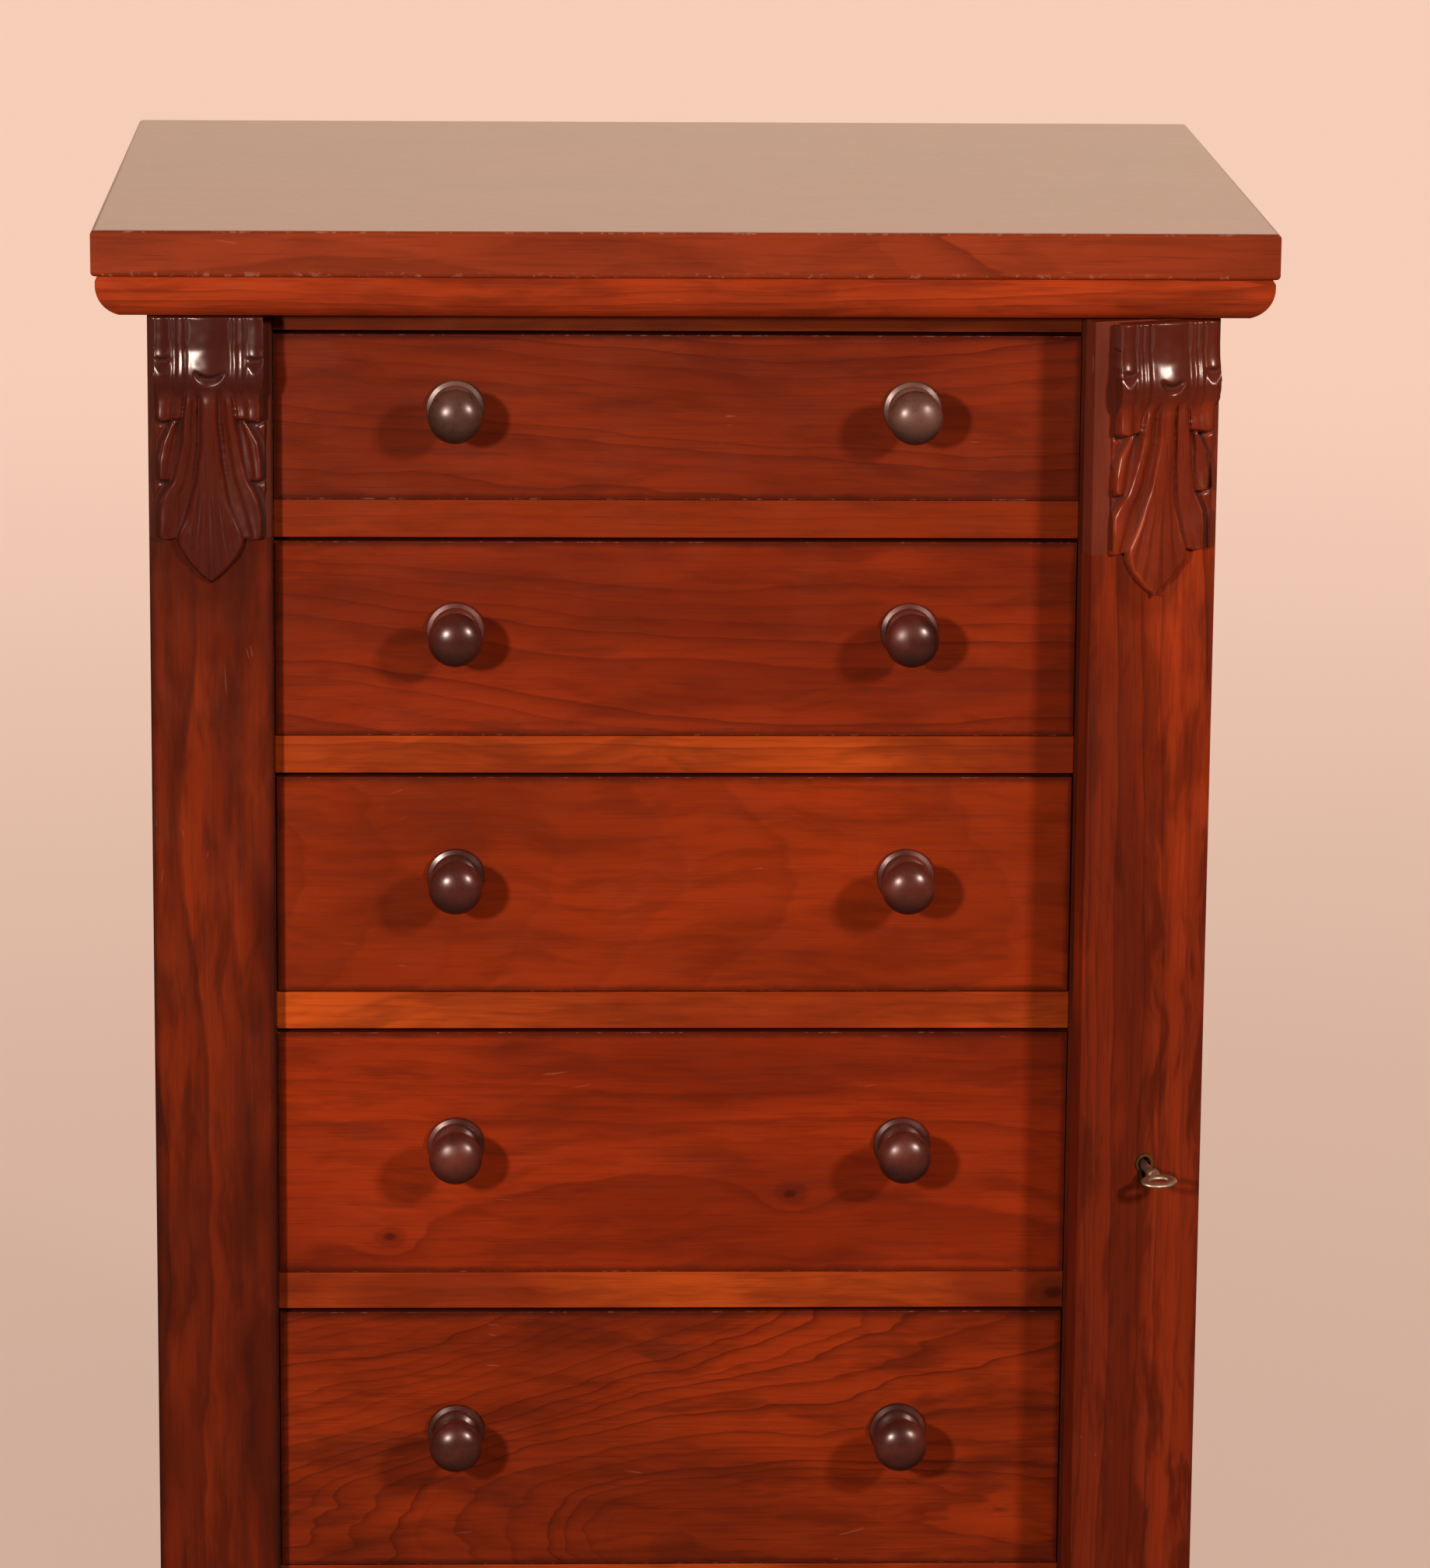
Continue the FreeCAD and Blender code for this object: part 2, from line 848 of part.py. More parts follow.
def keyhole(y, radius, slit_width, drop):
    """A keyhole along Y: a round hole over a slit."""
    start = Vector(stile_centre, y[0], lock_level)
    hole = rod(radius, start, Vector(0, 1, 0), y[1] - y[0])
    x = (stile_centre - slit_width / 2, stile_centre + slit_width / 2)
    return hole.fuse(block(x, y, (lock_level - drop, lock_level))).removeSplitter()


def through_keyhole(y):
    return keyhole(y, keyhole_radius, keyhole_slit_width, keyhole_slit_drop)


def escutcheon_shape(clearance, y):
    return keyhole(
        y,
        keyhole_radius + escutcheon_rim + clearance,
        keyhole_slit_width + 2 * (escutcheon_rim + clearance),
        keyhole_slit_drop + escutcheon_leg + clearance,
    )


def stile_ends():
    """The lower and upper end of the locking stile."""
    return plinth_height + stile_end_gap, frieze_bottom - stile_end_gap


def pivot_plate(z, clearance):
    """The outline of a pivot plate, as deep as its thickness."""
    x = (pivot_x - pivot_plate_inner - clearance, pivot_x + pivot_plate_outer + clearance)
    half = pivot_plate_width / 2 + clearance
    return block(x, (pivot_y - half, pivot_y + half), z)


def lock_block(clearance, depth):
    x = lock_width / 2 + clearance
    z = lock_height / 2 + clearance
    return block(
        (stile_centre - x, stile_centre + x),
        (lock_front - clearance, lock_front + depth),
        (lock_level - z, lock_level + z),
    )


def stile_fittings():
    """Everything that is let into the locking stile, as one shape to cut away."""
    low, high = stile_ends()
    sunk = -pilaster_proud + escutcheon_thickness - escutcheon_proud
    cuts = lock_block(plate_clearance, lock_depth + overrun)
    cuts = cuts.fuse(through_keyhole((-pilaster_proud - overrun, stile_back + overrun)))
    cuts = cuts.fuse(escutcheon_shape(plate_clearance, (-pilaster_proud - overrun, sunk)))
    cuts = cuts.fuse(pivot_plate((low - overrun, low + pivot_plate_thickness), plate_clearance))
    return cuts.fuse(pivot_plate((high - pivot_plate_thickness, high + overrun), plate_clearance))


def locking_stile():
    """Face board of the flap; its inner edge is the lip that laps the drawer ends."""
    face = block((stile_inner, stile_outer), (-pilaster_proud, -lip_gap), stile_ends())
    return face.cut(stile_fittings())


def stile_backing():
    """Board glued behind the face board, short of its inner edge by the rebate."""
    low, high = stile_ends()
    backing = backing_outline().extrude(Vector(0, 0, high - low))
    backing.translate(Vector(0, 0, low))
    return backing.cut(stile_fittings())


def stile_pivot(upper):
    """Plate let into the end of the stile, with a collar and a pin."""
    low, high = stile_ends()
    collar_height = stile_end_gap - collar_gap
    up = Vector(0, 0, 1) if upper else Vector(0, 0, -1)
    end = Vector(pivot_x, pivot_y, high if upper else low)
    if upper:
        plate = pivot_plate((high - pivot_plate_thickness, high), 0)
    else:
        plate = pivot_plate((low, low + pivot_plate_thickness), 0)
    collar = rod(collar_radius, end, up, collar_height)
    pin = rod(pin_radius, end, up, pin_length)
    return plate.fuse(collar).fuse(pin).removeSplitter()


def stile_pivots():
    return Part.makeCompound([stile_pivot(False), stile_pivot(True)])


def socket_recess(upper):
    """The recess for a socket plate, and the deeper hole for the pin's end."""
    level = frieze_bottom if upper else plinth_height
    up = Vector(0, 0, 1) if upper else Vector(0, 0, -1)
    if upper:
        z = (level - overrun, level + pivot_plate_thickness)
    else:
        z = (level - pivot_plate_thickness, level + overrun)
    start = Vector(pivot_x, pivot_y, level)
    hole = rod(pin_radius + pin_end_room, start, up, pin_length + pin_end_room)
    return pivot_plate(z, plate_clearance).fuse(hole)


def socket_plate(upper):
    level = frieze_bottom if upper else plinth_height
    if upper:
        z = (level, level + pivot_plate_thickness)
    else:
        z = (level - pivot_plate_thickness, level)
    start = Vector(pivot_x, pivot_y, z[0] - overrun)
    length = pivot_plate_thickness + 2 * overrun
    hole = rod(pin_radius + pin_clearance, start, Vector(0, 0, 1), length)
    return pivot_plate(z, 0).cut(hole)


def pivot_sockets():
    return Part.makeCompound([socket_plate(False), socket_plate(True)])


# Lock, link plate and key

def lock_cavity():
    x = lock_width / 2 - lock_wall
    z = lock_height / 2 - lock_wall
    return block(
        (stile_centre - x, stile_centre + x),
        (lock_front + lock_wall, stile_back + overrun),
        (lock_level - z, lock_level + z),
    )


def lock_case():
    """Open box of the lock, with two guides that keep the bolt upright."""
    case = lock_block(0, lock_depth).cut(lock_cavity())
    case = case.cut(through_keyhole((lock_front - overrun, lock_front + lock_wall + overrun)))
    for sign in (-1, 1):
        case = case.fuse(bolt_guide(sign))
    return case.removeSplitter()


def bolt_guide(sign):
    """A post beside the bolt with a ledge in front of the bolt's edge."""
    near = bolt_half_width + bolt_side_gap
    far = near + bolt_guide_width
    front = lock_front + lock_wall
    z = lock_height / 2 - lock_wall
    post = block((near, far), (front, stile_back - lock_cap_thickness), (-z, z))
    ledge = block((near - bolt_ledge_width, near), (front, bolt_front - bolt_cap_gap), (-z, z))
    guide = post.fuse(ledge)
    if sign < 0:
        guide = mirrored(guide)
    guide.translate(Vector(stile_centre, 0, lock_level))
    return guide


def loop_levels():
    return [lock_level - loop_offset, lock_level + loop_offset]


def lock_cap():
    """Back plate of the lock, with a slot for each loop."""
    x = lock_width / 2 - lock_wall - plate_clearance
    z = lock_height / 2 - lock_wall - plate_clearance
    y = (stile_back - lock_cap_thickness, stile_back)
    cap = block((stile_centre - x, stile_centre + x), y, (lock_level - z, lock_level + z))
    for level in loop_levels():
        slot = block(
            (stile_centre - slot_half_width, stile_centre + slot_half_width),
            (y[0] - overrun, y[1] + overrun),
            (level - loop_half_height - loop_room, level + loop_half_height + loop_room),
        )
        cap = cap.cut(slot)
    return cap


def lock_bolt():
    """Flat bolt with two windows; a finger in each slides through a loop's eye.

    The key's bit lifts it by the talon on its front.
    """
    x = (stile_centre - bolt_half_width, stile_centre + bolt_half_width)
    y = (bolt_front, bolt_back)
    low = lock_level - lock_height / 2 + lock_wall + bolt_end_gap
    high = lock_level + loop_offset + loop_half_height + loop_room + bolt_head
    bolt = block(x, y, (low, high))
    for level in loop_levels():
        floor = level - loop_half_height - bolt_throw - loop_room
        window = block(
            (stile_centre - slot_half_width, stile_centre + slot_half_width),
            (y[0] - overrun, y[1] + overrun),
            (floor, level + loop_half_height + loop_room),
        )
        bolt = bolt.cut(window)
        finger = block(
            (stile_centre - finger_half_width, stile_centre + finger_half_width),
            y,
            (floor - overrun, level - loop_half_height - finger_gap),
        )
        bolt = bolt.fuse(finger)
    talon = block(
        (stile_centre - talon_half_width, stile_centre + talon_half_width),
        (bolt_front - talon_reach, bolt_front),
        (lock_level + talon_rise, lock_level + talon_rise + talon_height),
    )
    return bolt.fuse(talon).removeSplitter()


def link_plate_body(clearance):
    x = link_plate_width / 2 + clearance
    z = loop_offset + link_plate_end + clearance
    return block(
        (stile_centre - x, stile_centre + x),
        (post_face, post_face + link_plate_thickness + clearance),
        (lock_level - z, lock_level + z),
    )


def link_plate():
    """Plate on the frame stile with two loops that enter the lock."""
    plate = link_plate_body(0)
    for level in loop_levels():
        z = (level - loop_half_height, level + loop_half_height)
        x = (stile_centre - loop_half_width, stile_centre + loop_half_width)
        loop = block(x, (post_face - loop_reach, post_face), z)
        eye = block(
            (stile_centre - loop_eye_half_width, stile_centre + loop_eye_half_width),
            (post_face - loop_reach + loop_bar, post_face - loop_back_bar),
            (z[0] - overrun, z[1] + overrun),
        )
        plate = plate.fuse(loop.cut(eye))
    return plate.removeSplitter()


def escutcheon():
    y = (-pilaster_proud - escutcheon_proud, -pilaster_proud - escutcheon_proud + escutcheon_thickness)
    through = through_keyhole((y[0] - overrun, y[1] + overrun))
    return escutcheon_shape(0, y).cut(through)


def key_rest_turn(shape):
    """The key hangs loose in its hole: its outer end droops a little."""
    shape.rotate(key_hinge_point(), Vector(1, 0, 0), key_droop_degrees)
    return shape


def key_hinge_point():
    """Middle of the two plates that carry the key's shank."""
    outer = -pilaster_proud - escutcheon_proud
    inner = lock_front + lock_wall
    return Vector(stile_centre, (outer + inner) / 2, lock_level)


def key():
    """Key with its bow level, pointing out of the stile along its own shank."""
    centre = Vector(stile_centre, 0, lock_level)
    tip = key_tip_inside
    face = -pilaster_proud - escutcheon_proud
    shank_end = face - key_shank_outside
    collar_end = shank_end - key_collar_length
    out = Vector(0, -1, 0)
    shank = rod(key_radius, centre + Vector(0, tip, 0), out, tip - collar_end)
    collar = rod(key_collar_radius, centre + Vector(0, shank_end, 0), out, key_collar_length)
    half_length = key_bow_length / 2
    half_wide = key_bow_width / 2
    bow_y = collar_end - half_length + key_bow_sink
    bow_base = Vector(stile_centre, bow_y, lock_level - key_bow_thickness / 2)
    outer = oval(bow_base, half_wide, half_length)
    inner = oval(bow_base, half_wide - key_bow_rim, half_length - key_bow_rim)
    bow = outer.cut(inner)
    bit = block(
        (stile_centre - bit_length, stile_centre),
        (tip - bit_tip_back - bit_depth, tip - bit_tip_back),
        (lock_level - bit_thickness / 2, lock_level + bit_thickness / 2),
    )
    whole = shank.fuse(collar).fuse(bow).fuse(bit).removeSplitter()
    return key_rest_turn(whole)


def oval(base, half_wide, half_long):
    """A flat oval plate, as thick as the key's bow."""
    points = []
    for number in range(bow_flats):
        angle = 2 * math.pi * number / bow_flats
        points.append(base + Vector(half_wide * math.cos(angle), half_long * math.sin(angle), 0))
    return prism(points, Vector(0, 0, key_bow_thickness))


# Assembly

fixed_pieces = {
    "top_board": top_board,
    "top_moulding": top_moulding,
    "top_rails": top_rails,
    "left_side": lambda: carcase_side(-1),
    "right_side": lambda: carcase_side(1),
    "back_boards": back_boards,
    "bottom_board": bottom_board,
    "drawer_rails": drawer_rails,
    "left_frame_stile": left_frame_stile,
    "right_frame_stile": right_frame_stile,
    "left_pilaster": left_pilaster,
    "left_corbel": left_corbel,
    "drawer_runners": drawer_runners,
    "drawer_guides": drawer_guides,
    "drawer_stops": drawer_stops,
    "plinth_front": plinth_front,
    "plinth_sides": plinth_sides,
    "plinth_back": plinth_back,
    "base_frame": base_frame,
    "pivot_sockets": pivot_sockets,
    "link_plate": link_plate,
}

# These are drawn closed and set ajar, as the stile stands in the rest pose
swinging_pieces = {
    "locking_stile": locking_stile,
    "stile_backing": stile_backing,
    "right_corbel": right_corbel,
    "stile_pivots": stile_pivots,
    "lock_case": lock_case,
    "lock_cap": lock_cap,
    "lock_bolt": lock_bolt,
    "escutcheon": escutcheon,
    "key": key,
}

drawer_pieces = {
    "front": drawer_front,
    "sides": drawer_sides,
    "back": drawer_back,
    "bottom": drawer_bottom,
    "knobs": drawer_knobs,
}


def assembly():
    """Every node's shape, before the origin moves to the middle of the depth."""
    nodes = {}
    for name, make in fixed_pieces.items():
        nodes[name] = make()
    for name, make in swinging_pieces.items():
        nodes[name] = swung(make(), ajar_degrees)
    for index in range(drawer_count):
        for name, make in drawer_pieces.items():
            nodes[f"drawer_{index + 1}_{name}"] = make(index)
    return nodes


def middle_of_depth(nodes):
    """Half way between the key's bow in front and the top's back edge."""
    front = min(nodes["key"].BoundBox.YMin, -knob_ball_out - knob_ball_radius)
    return (front + carcase_depth + top_back_overhang) / 2


nodes = assembly()
origin_shift = Vector(0, -middle_of_depth(nodes), 0)
os.makedirs("parts", exist_ok=True)
for name, shape in nodes.items():
    shape.translate(origin_shift)
    shape.exportStep(f"parts/{name}.step")
print(len(nodes), "nodes,", total_height, "mm high, set back by", origin_shift.y)
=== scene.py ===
# %% [markdown]
# # A wellington chest
# A wellington chest is a tall, narrow chest of drawers. A hinged stile on its right laps the ends
# of all the drawers and locks them with one key. This lesson dresses the chest that comes from the
# CAD model: every board keeps its CAD shape and gets wood with real growth rings, and the turned,
# carved and filed pieces are made again here with finer shapes. Sizes are in metres, apart from the
# carving, which is drawn in millimetres.

import json
import math

import bmesh
import bpy
import numpy as np
from mathutils import Matrix, Vector


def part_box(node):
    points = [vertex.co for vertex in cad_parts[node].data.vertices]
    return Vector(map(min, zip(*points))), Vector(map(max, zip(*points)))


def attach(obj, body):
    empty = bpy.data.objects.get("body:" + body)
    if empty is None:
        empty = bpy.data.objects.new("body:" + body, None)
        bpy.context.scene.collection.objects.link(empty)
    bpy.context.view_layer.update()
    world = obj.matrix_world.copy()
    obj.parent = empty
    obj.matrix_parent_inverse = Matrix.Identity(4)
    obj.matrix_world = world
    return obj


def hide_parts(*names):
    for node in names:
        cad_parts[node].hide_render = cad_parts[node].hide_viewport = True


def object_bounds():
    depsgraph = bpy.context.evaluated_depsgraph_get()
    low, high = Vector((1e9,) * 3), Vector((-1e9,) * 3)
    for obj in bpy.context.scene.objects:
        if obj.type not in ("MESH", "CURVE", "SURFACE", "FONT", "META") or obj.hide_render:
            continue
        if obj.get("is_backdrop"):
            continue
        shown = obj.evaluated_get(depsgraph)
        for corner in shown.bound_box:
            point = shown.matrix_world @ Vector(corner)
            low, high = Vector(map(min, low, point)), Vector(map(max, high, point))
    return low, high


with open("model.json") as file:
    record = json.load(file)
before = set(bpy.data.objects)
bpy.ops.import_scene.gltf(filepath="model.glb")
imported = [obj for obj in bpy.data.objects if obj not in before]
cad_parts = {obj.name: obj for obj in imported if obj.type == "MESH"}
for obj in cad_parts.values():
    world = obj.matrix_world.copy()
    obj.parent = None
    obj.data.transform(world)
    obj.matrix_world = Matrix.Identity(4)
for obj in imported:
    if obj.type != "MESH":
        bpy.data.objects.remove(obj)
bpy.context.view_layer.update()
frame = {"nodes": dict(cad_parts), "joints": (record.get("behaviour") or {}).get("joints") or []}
nodes = frame["nodes"]

# %% [markdown]
# ## The camera
# The photograph was taken with a long lens from a little above the top, so that the chest hardly
# narrows to its foot. Three directions place a camera: where it looks, what is right and what is
# down. Their columns make its matrix.

# %% Camera
camera_place = Vector((-0.098, -3.5394, 1.472))
tilt, yaw, roll = math.radians(12.64), math.radians(1.98), math.radians(-0.47)

look = Vector((math.sin(yaw) * math.cos(tilt), math.cos(yaw) * math.cos(tilt), -math.sin(tilt)))
right = Vector((math.cos(yaw), -math.sin(yaw), 0))
down = look.cross(right)
right, down = (right * math.cos(roll) + down * math.sin(roll),
               down * math.cos(roll) - right * math.sin(roll))
lens = bpy.data.cameras.new("camera")
lens.lens = 149.4
lens.sensor_width = 36
camera = bpy.data.objects.new("camera", lens)
camera_turn = Matrix((right, -down, -look)).transposed().to_4x4()
camera.matrix_world = Matrix.Translation(camera_place) @ camera_turn
bpy.context.scene.collection.objects.link(camera)
bpy.context.scene.camera = camera
print("camera", round(math.degrees(tilt), 1), "degrees down, lens", lens.lens)

# %% [markdown]
# ## Small helpers for shader nodes
# A material is a graph. These helpers add one node, feed its inputs with numbers or with other
# nodes' outputs, and hand back the output, so that the graph reads like a sum. An output knows the
# tree it stands in, so the helpers find the tree by themselves.

# %% Node helpers
def feed(socket, value):
    if isinstance(value, bpy.types.NodeSocket):
        socket.id_data.links.new(value, socket)
    else:
        socket.default_value = value


def fill(node, **values):
    """Feeds a node's inputs by name, with underscores for spaces, and returns its outputs."""
    for label, value in values.items():
        feed(node.inputs[label.replace("_", " ")], value)
    return node.outputs


def beside(kind, *values):
    """A new node in the tree that the values come from, with its first inputs fed in turn."""
    tree = next(value for value in values if isinstance(value, bpy.types.NodeSocket)).id_data
    node = tree.nodes.new("ShaderNode" + kind)
    for socket, value in zip(node.inputs, values):
        feed(socket, value)
    return node


def maths(operation, *values, clamp=False):
    node = beside("Math", *values)
    node.operation = operation
    node.use_clamp = clamp
    return node.outputs[0]


def plus(first, second, clamp=False):
    return maths("ADD", first, second, clamp=clamp)


def times(first, second):
    return maths("MULTIPLY", first, second)


def distance_to(value, place):
    return maths("ABSOLUTE", maths("SUBTRACT", value, place))


def vectors(operation, *values):
    node = beside("VectorMath", *values)
    node.operation = operation
    return node.outputs["Value" if operation == "LENGTH" else "Vector"]


def pushed(vector, direction, amount):
    """A vector moved along a direction, by 'amount' times its length."""
    node = vector.id_data.nodes.new("ShaderNodeVectorMath")
    node.operation = "SCALE"
    feed(node.inputs[0], direction)
    return vectors("ADD", vector, fill(node, Scale=amount)["Vector"])


def split(vector):
    """The X, Y and Z of a vector, each an output of its own."""
    return beside("SeparateXYZ", vector).outputs


def ramp(value, low, high, out_low=0.0, out_high=1.0):
    node = beside("MapRange", value, low, high, out_low, out_high)
    node.interpolation_type = "SMOOTHSTEP"
    return node.outputs["Result"]


def band(value, low, high):
    """1 between two values and 0 outside them."""
    return times(maths("GREATER_THAN", value, low), maths("LESS_THAN", value, high))


def noise(place, scale, detail, roughness, output="Fac"):
    node = beside("TexNoise", place)
    return fill(node, Scale=scale, Detail=detail, Roughness=roughness)[output]


def grained(place, squeeze, scale, detail, roughness, output="Fac"):
    """Noise drawn out along the grain. The smaller 'squeeze', the longer its streaks."""
    return noise(vectors("MULTIPLY", place, (squeeze, 1, 1)), scale, detail, roughness, output)


def blend(share, first, second):
    node = share.id_data.nodes.new("ShaderNodeMix")
    node.data_type = "RGBA"
    for number, value in ((0, share), (6, first), (7, second)):
        feed(node.inputs[number], value)
    return node.outputs[2]


def seen(red, green, blue):
    """A colour as a picture stores it, 0 to 255, turned into the light values that shaders take."""
    return tuple((c / 255 / 12.92 if c < 10 else ((c / 255 + 0.055) / 1.055) ** 2.4)
                 for c in (red, green, blue)) + (1.0,)


def stain(colour, mask, share, tone):
    """A colour with a tone laid over it, as strong as the mask times the share."""
    return blend(times(mask, share), colour, seen(*tone))


def new_group(name, inputs, outputs):
    """A shader node group with a vector, other named inputs, and numbers as outputs.

    Returns the group, its inputs and the node that takes its outputs.
    """
    group = bpy.data.node_groups.new(name, "ShaderNodeTree")
    for label, value in {"Vector": (0, 0, 0), **inputs}.items():
        kind = "Float" if isinstance(value, float) else "Vector"
        socket = group.interface.new_socket(label, in_out="INPUT", socket_type="NodeSocket" + kind)
        socket.default_value = value
    for label in outputs:
        group.interface.new_socket(label, in_out="OUTPUT", socket_type="NodeSocketFloat")
    given = group.nodes.new("NodeGroupInput").outputs
    return group, given, group.nodes.new("NodeGroupOutput")


def place_group(group, where, **values):
    """Puts a group into the tree of its vector 'where'."""
    node = where.id_data.nodes.new("ShaderNodeGroup")
    node.node_tree = group
    return fill(node, Vector=where, **values)


print("helpers ready")

# %% [markdown]
# ## Growth rings
# A board is a slice through a tree, so its figure is a slice through nested tubes. The group below
# measures the distance of each point from the heart of the tree and cuts it into rings. A heart far
# behind the face gives wide quiet lines, a leaning heart gives arches, and noise that bends the
# tubes gives the waves and flames of mahogany. The vector runs along the grain, across it and into
# the board, in that order.

# %% Group: growth rings
wander_squeeze, ripple_squeeze, ripple_scale = 0.34, 0.3, 55.0
width_drift, drift_scale = 1.6, 0.37
line_sharpness, line_end = 5.0, 0.93
faintest_line = 0.25


def wave(place, squeeze, scale, roughness):
    """A vector of noise that pushes both ways, because half is taken off it."""
    colour = grained(place, squeeze, scale, 2, roughness, "Color")
    return vectors("SUBTRACT", colour, (0.5, 0.5, 0.5))


def line_noise(kind, value, **values):
    """Noise that depends on one number instead of a place."""
    node = value.id_data.nodes.new("ShaderNode" + kind)
    node.noise_dimensions = "1D"
    return fill(node, W=value, **values)[0]


growth_rings, given, result = new_group("Growth rings", {
    "Heart": (0, 0, 0.06), "Lean": (0, 0, 0), "Ring Width": 0.006, "Wander": 0.02,
    "Wander Size": 0.12, "Swell": 0.0, "Ripple": 0.0045, "Seed": 0.0,
}, ("Line", "Ring"))
moved = pushed(given["Vector"], (0.73, 0.31, 0.57), given["Seed"])
wander_scale = maths("DIVIDE", 1.0, given["Wander Size"])
slow = wave(moved, wander_squeeze, wander_scale, 0.45)
quick = wave(moved, ripple_squeeze, ripple_scale, 0.5)
axis = pushed(given["Heart"], given["Lean"], split(given["Vector"])["X"])
place = vectors("SUBTRACT", given["Vector"], axis)
place = pushed(pushed(place, slow, given["Wander"]), quick, given["Ripple"])
away = vectors("LENGTH", vectors("MULTIPLY", place, (0, 1, 1)))
count = maths("DIVIDE", plus(away, given["Swell"]), given["Ring Width"])
drift = line_noise("TexNoise", count, Scale=drift_scale, Detail=1, Roughness=0.5)
count = plus(count, times(drift, width_drift))
phase = maths("FRACT", count)
depth = line_noise("TexWhiteNoise", plus(maths("FLOOR", count), given["Seed"]))
edge = times(maths("POWER", phase, line_sharpness), ramp(phase, 1.0, line_end))
fill(result, Line=times(edge, ramp(depth, 0.0, 1.0, faintest_line, 1.0)), Ring=times(phase, depth))
print(growth_rings.name, len(growth_rings.nodes), "nodes")

# %% [markdown]
# ## A knot
# Where a branch left the tree the rings bulge round it and the wood darkens. The group puts out how
# far the rings are pushed and how dark the heart of the knot is. A knot that pushes nothing serves
# as a round stain, and under each carving as a round painted shade.

# %% Group: knot
knot_stretch, knot_wobble = (0.62, 1, 0), 0.0025
push_power, push_fall = 1.4, -0.42
knot_circles = 6.5

knot, given, result = new_group(
    "Knot", {"Place": (0, 0, 0), "Size": 0.004, "Push": 0.006}, ("Swell", "Dark"))
apart = vectors("MULTIPLY", vectors("SUBTRACT", given["Vector"], given["Place"]), knot_stretch)
apart = pushed(apart, noise(given["Vector"], 160.0, 2, 0.6, "Color"), knot_wobble)
distance = maths("DIVIDE", vectors("LENGTH", apart), given["Size"])
fall = times(maths("POWER", distance, push_power), push_fall)
circles = maths("SINE", times(distance, knot_circles))
heart = ramp(distance, 1.5, 0.4)
fill(result, Swell=times(maths("EXPONENT", fall), given["Push"]),
     Dark=times(heart, ramp(circles, -1.0, 1.0, 0.5, 1.0)))
print(knot.name, len(knot.nodes), "nodes")

# %% [markdown]
# ## Pores, wear and edges
# Three more effects are shared. Pores are short dark streaks along the grain, with broader flares
# and clouds of tone beside them. Knocks are the pale hair scratches and rubbed patches that old
# polish collects. The edge mask finds the rim of a board from the board's own box, and the rim is
# darkened.

# %% Group: pore streaks
coarse_share, middling_scale, flare_scale, cloud_scale = 0.2, 330.0, 85.0, 16.0
flare_bend_scale, flare_bend = 11.0, 0.03

pore_streaks, given, result = new_group(
    "Pore streaks", {"Seed": 0.0, "Fineness": 900.0}, ("Streak", "Flare", "Cloud"))
moved = pushed(given["Vector"], (0.41, 0.83, 0.29), given["Seed"])
fine = grained(moved, 0.022, given["Fineness"], 2, 0.6)
coarse = grained(moved, 0.05, times(given["Fineness"], coarse_share), 2, 0.6)
streak = times(ramp(fine, 0.52, 0.72), ramp(coarse, 0.3, 0.65, 0.35, 1.0))
middling = grained(moved, 0.045, middling_scale, 2, 0.65)
streak = maths("MAXIMUM", streak, ramp(middling, 0.5, 0.72, 0.0, 0.75))
wavy = pushed(moved, noise(moved, flare_bend_scale, 2, 0.5, "Color"), flare_bend)
flare = grained(wavy, 0.16, flare_scale, 3, 0.6)
cloud = grained(moved, 0.3, cloud_scale, 3, 0.55)
fill(result, Streak=streak, Flare=ramp(flare, 0.42, 0.7), Cloud=ramp(cloud, 0.3, 0.7))
print(pore_streaks.name, len(pore_streaks.nodes), "nodes")

# %% Group: knocks
hair_stretch, hair_scale, hair_bend_scale, hair_bend = (0.1, 1.6, 1.0), 420.0, 9.0, 0.05
patch_scale, rub_scale = 14.0, 26.0

knocks, given, result = new_group("Knocks", {"Seed": 0.0}, ("Scratch", "Rub"))
moved = pushed(given["Vector"], (0.19, 0.37, 0.71), given["Seed"])
bent = pushed(moved, noise(moved, hair_bend_scale, 1, 0.5, "Color"), hair_bend)
hairs = noise(vectors("MULTIPLY", bent, hair_stretch), hair_scale, 0, 0.5)
patch = noise(moved, patch_scale, 1, 0.5)
scratch = times(ramp(hairs, 0.80, 0.83), ramp(patch, 0.6, 0.7))
fill(result, Scratch=scratch, Rub=ramp(noise(moved, rub_scale, 3, 0.6), 0.42, 0.72))
print(knocks.name, len(knocks.nodes), "nodes")

# %% Group: board edge
rim_noise_scale, rim_noise = 70.0, -0.003

board_edge, given, result = new_group(
    "Board edge", {"Middle": (0, 0, 0), "Half": (1, 1, 1), "Width": 0.004}, ("Rim",))
from_middle = vectors("ABSOLUTE", vectors("SUBTRACT", given["Vector"], given["Middle"]))
room = split(vectors("SUBTRACT", given["Half"], from_middle))
inside = maths("MINIMUM", room["X"], room["Y"])
ragged = times(noise(given["Vector"], rim_noise_scale, 3, 0.6), rim_noise)
share = maths("DIVIDE", plus(inside, ragged), given["Width"])
fill(result, Rim=ramp(share, 1.0, -0.3))
print(board_edge.name, len(board_edge.nodes), "nodes")
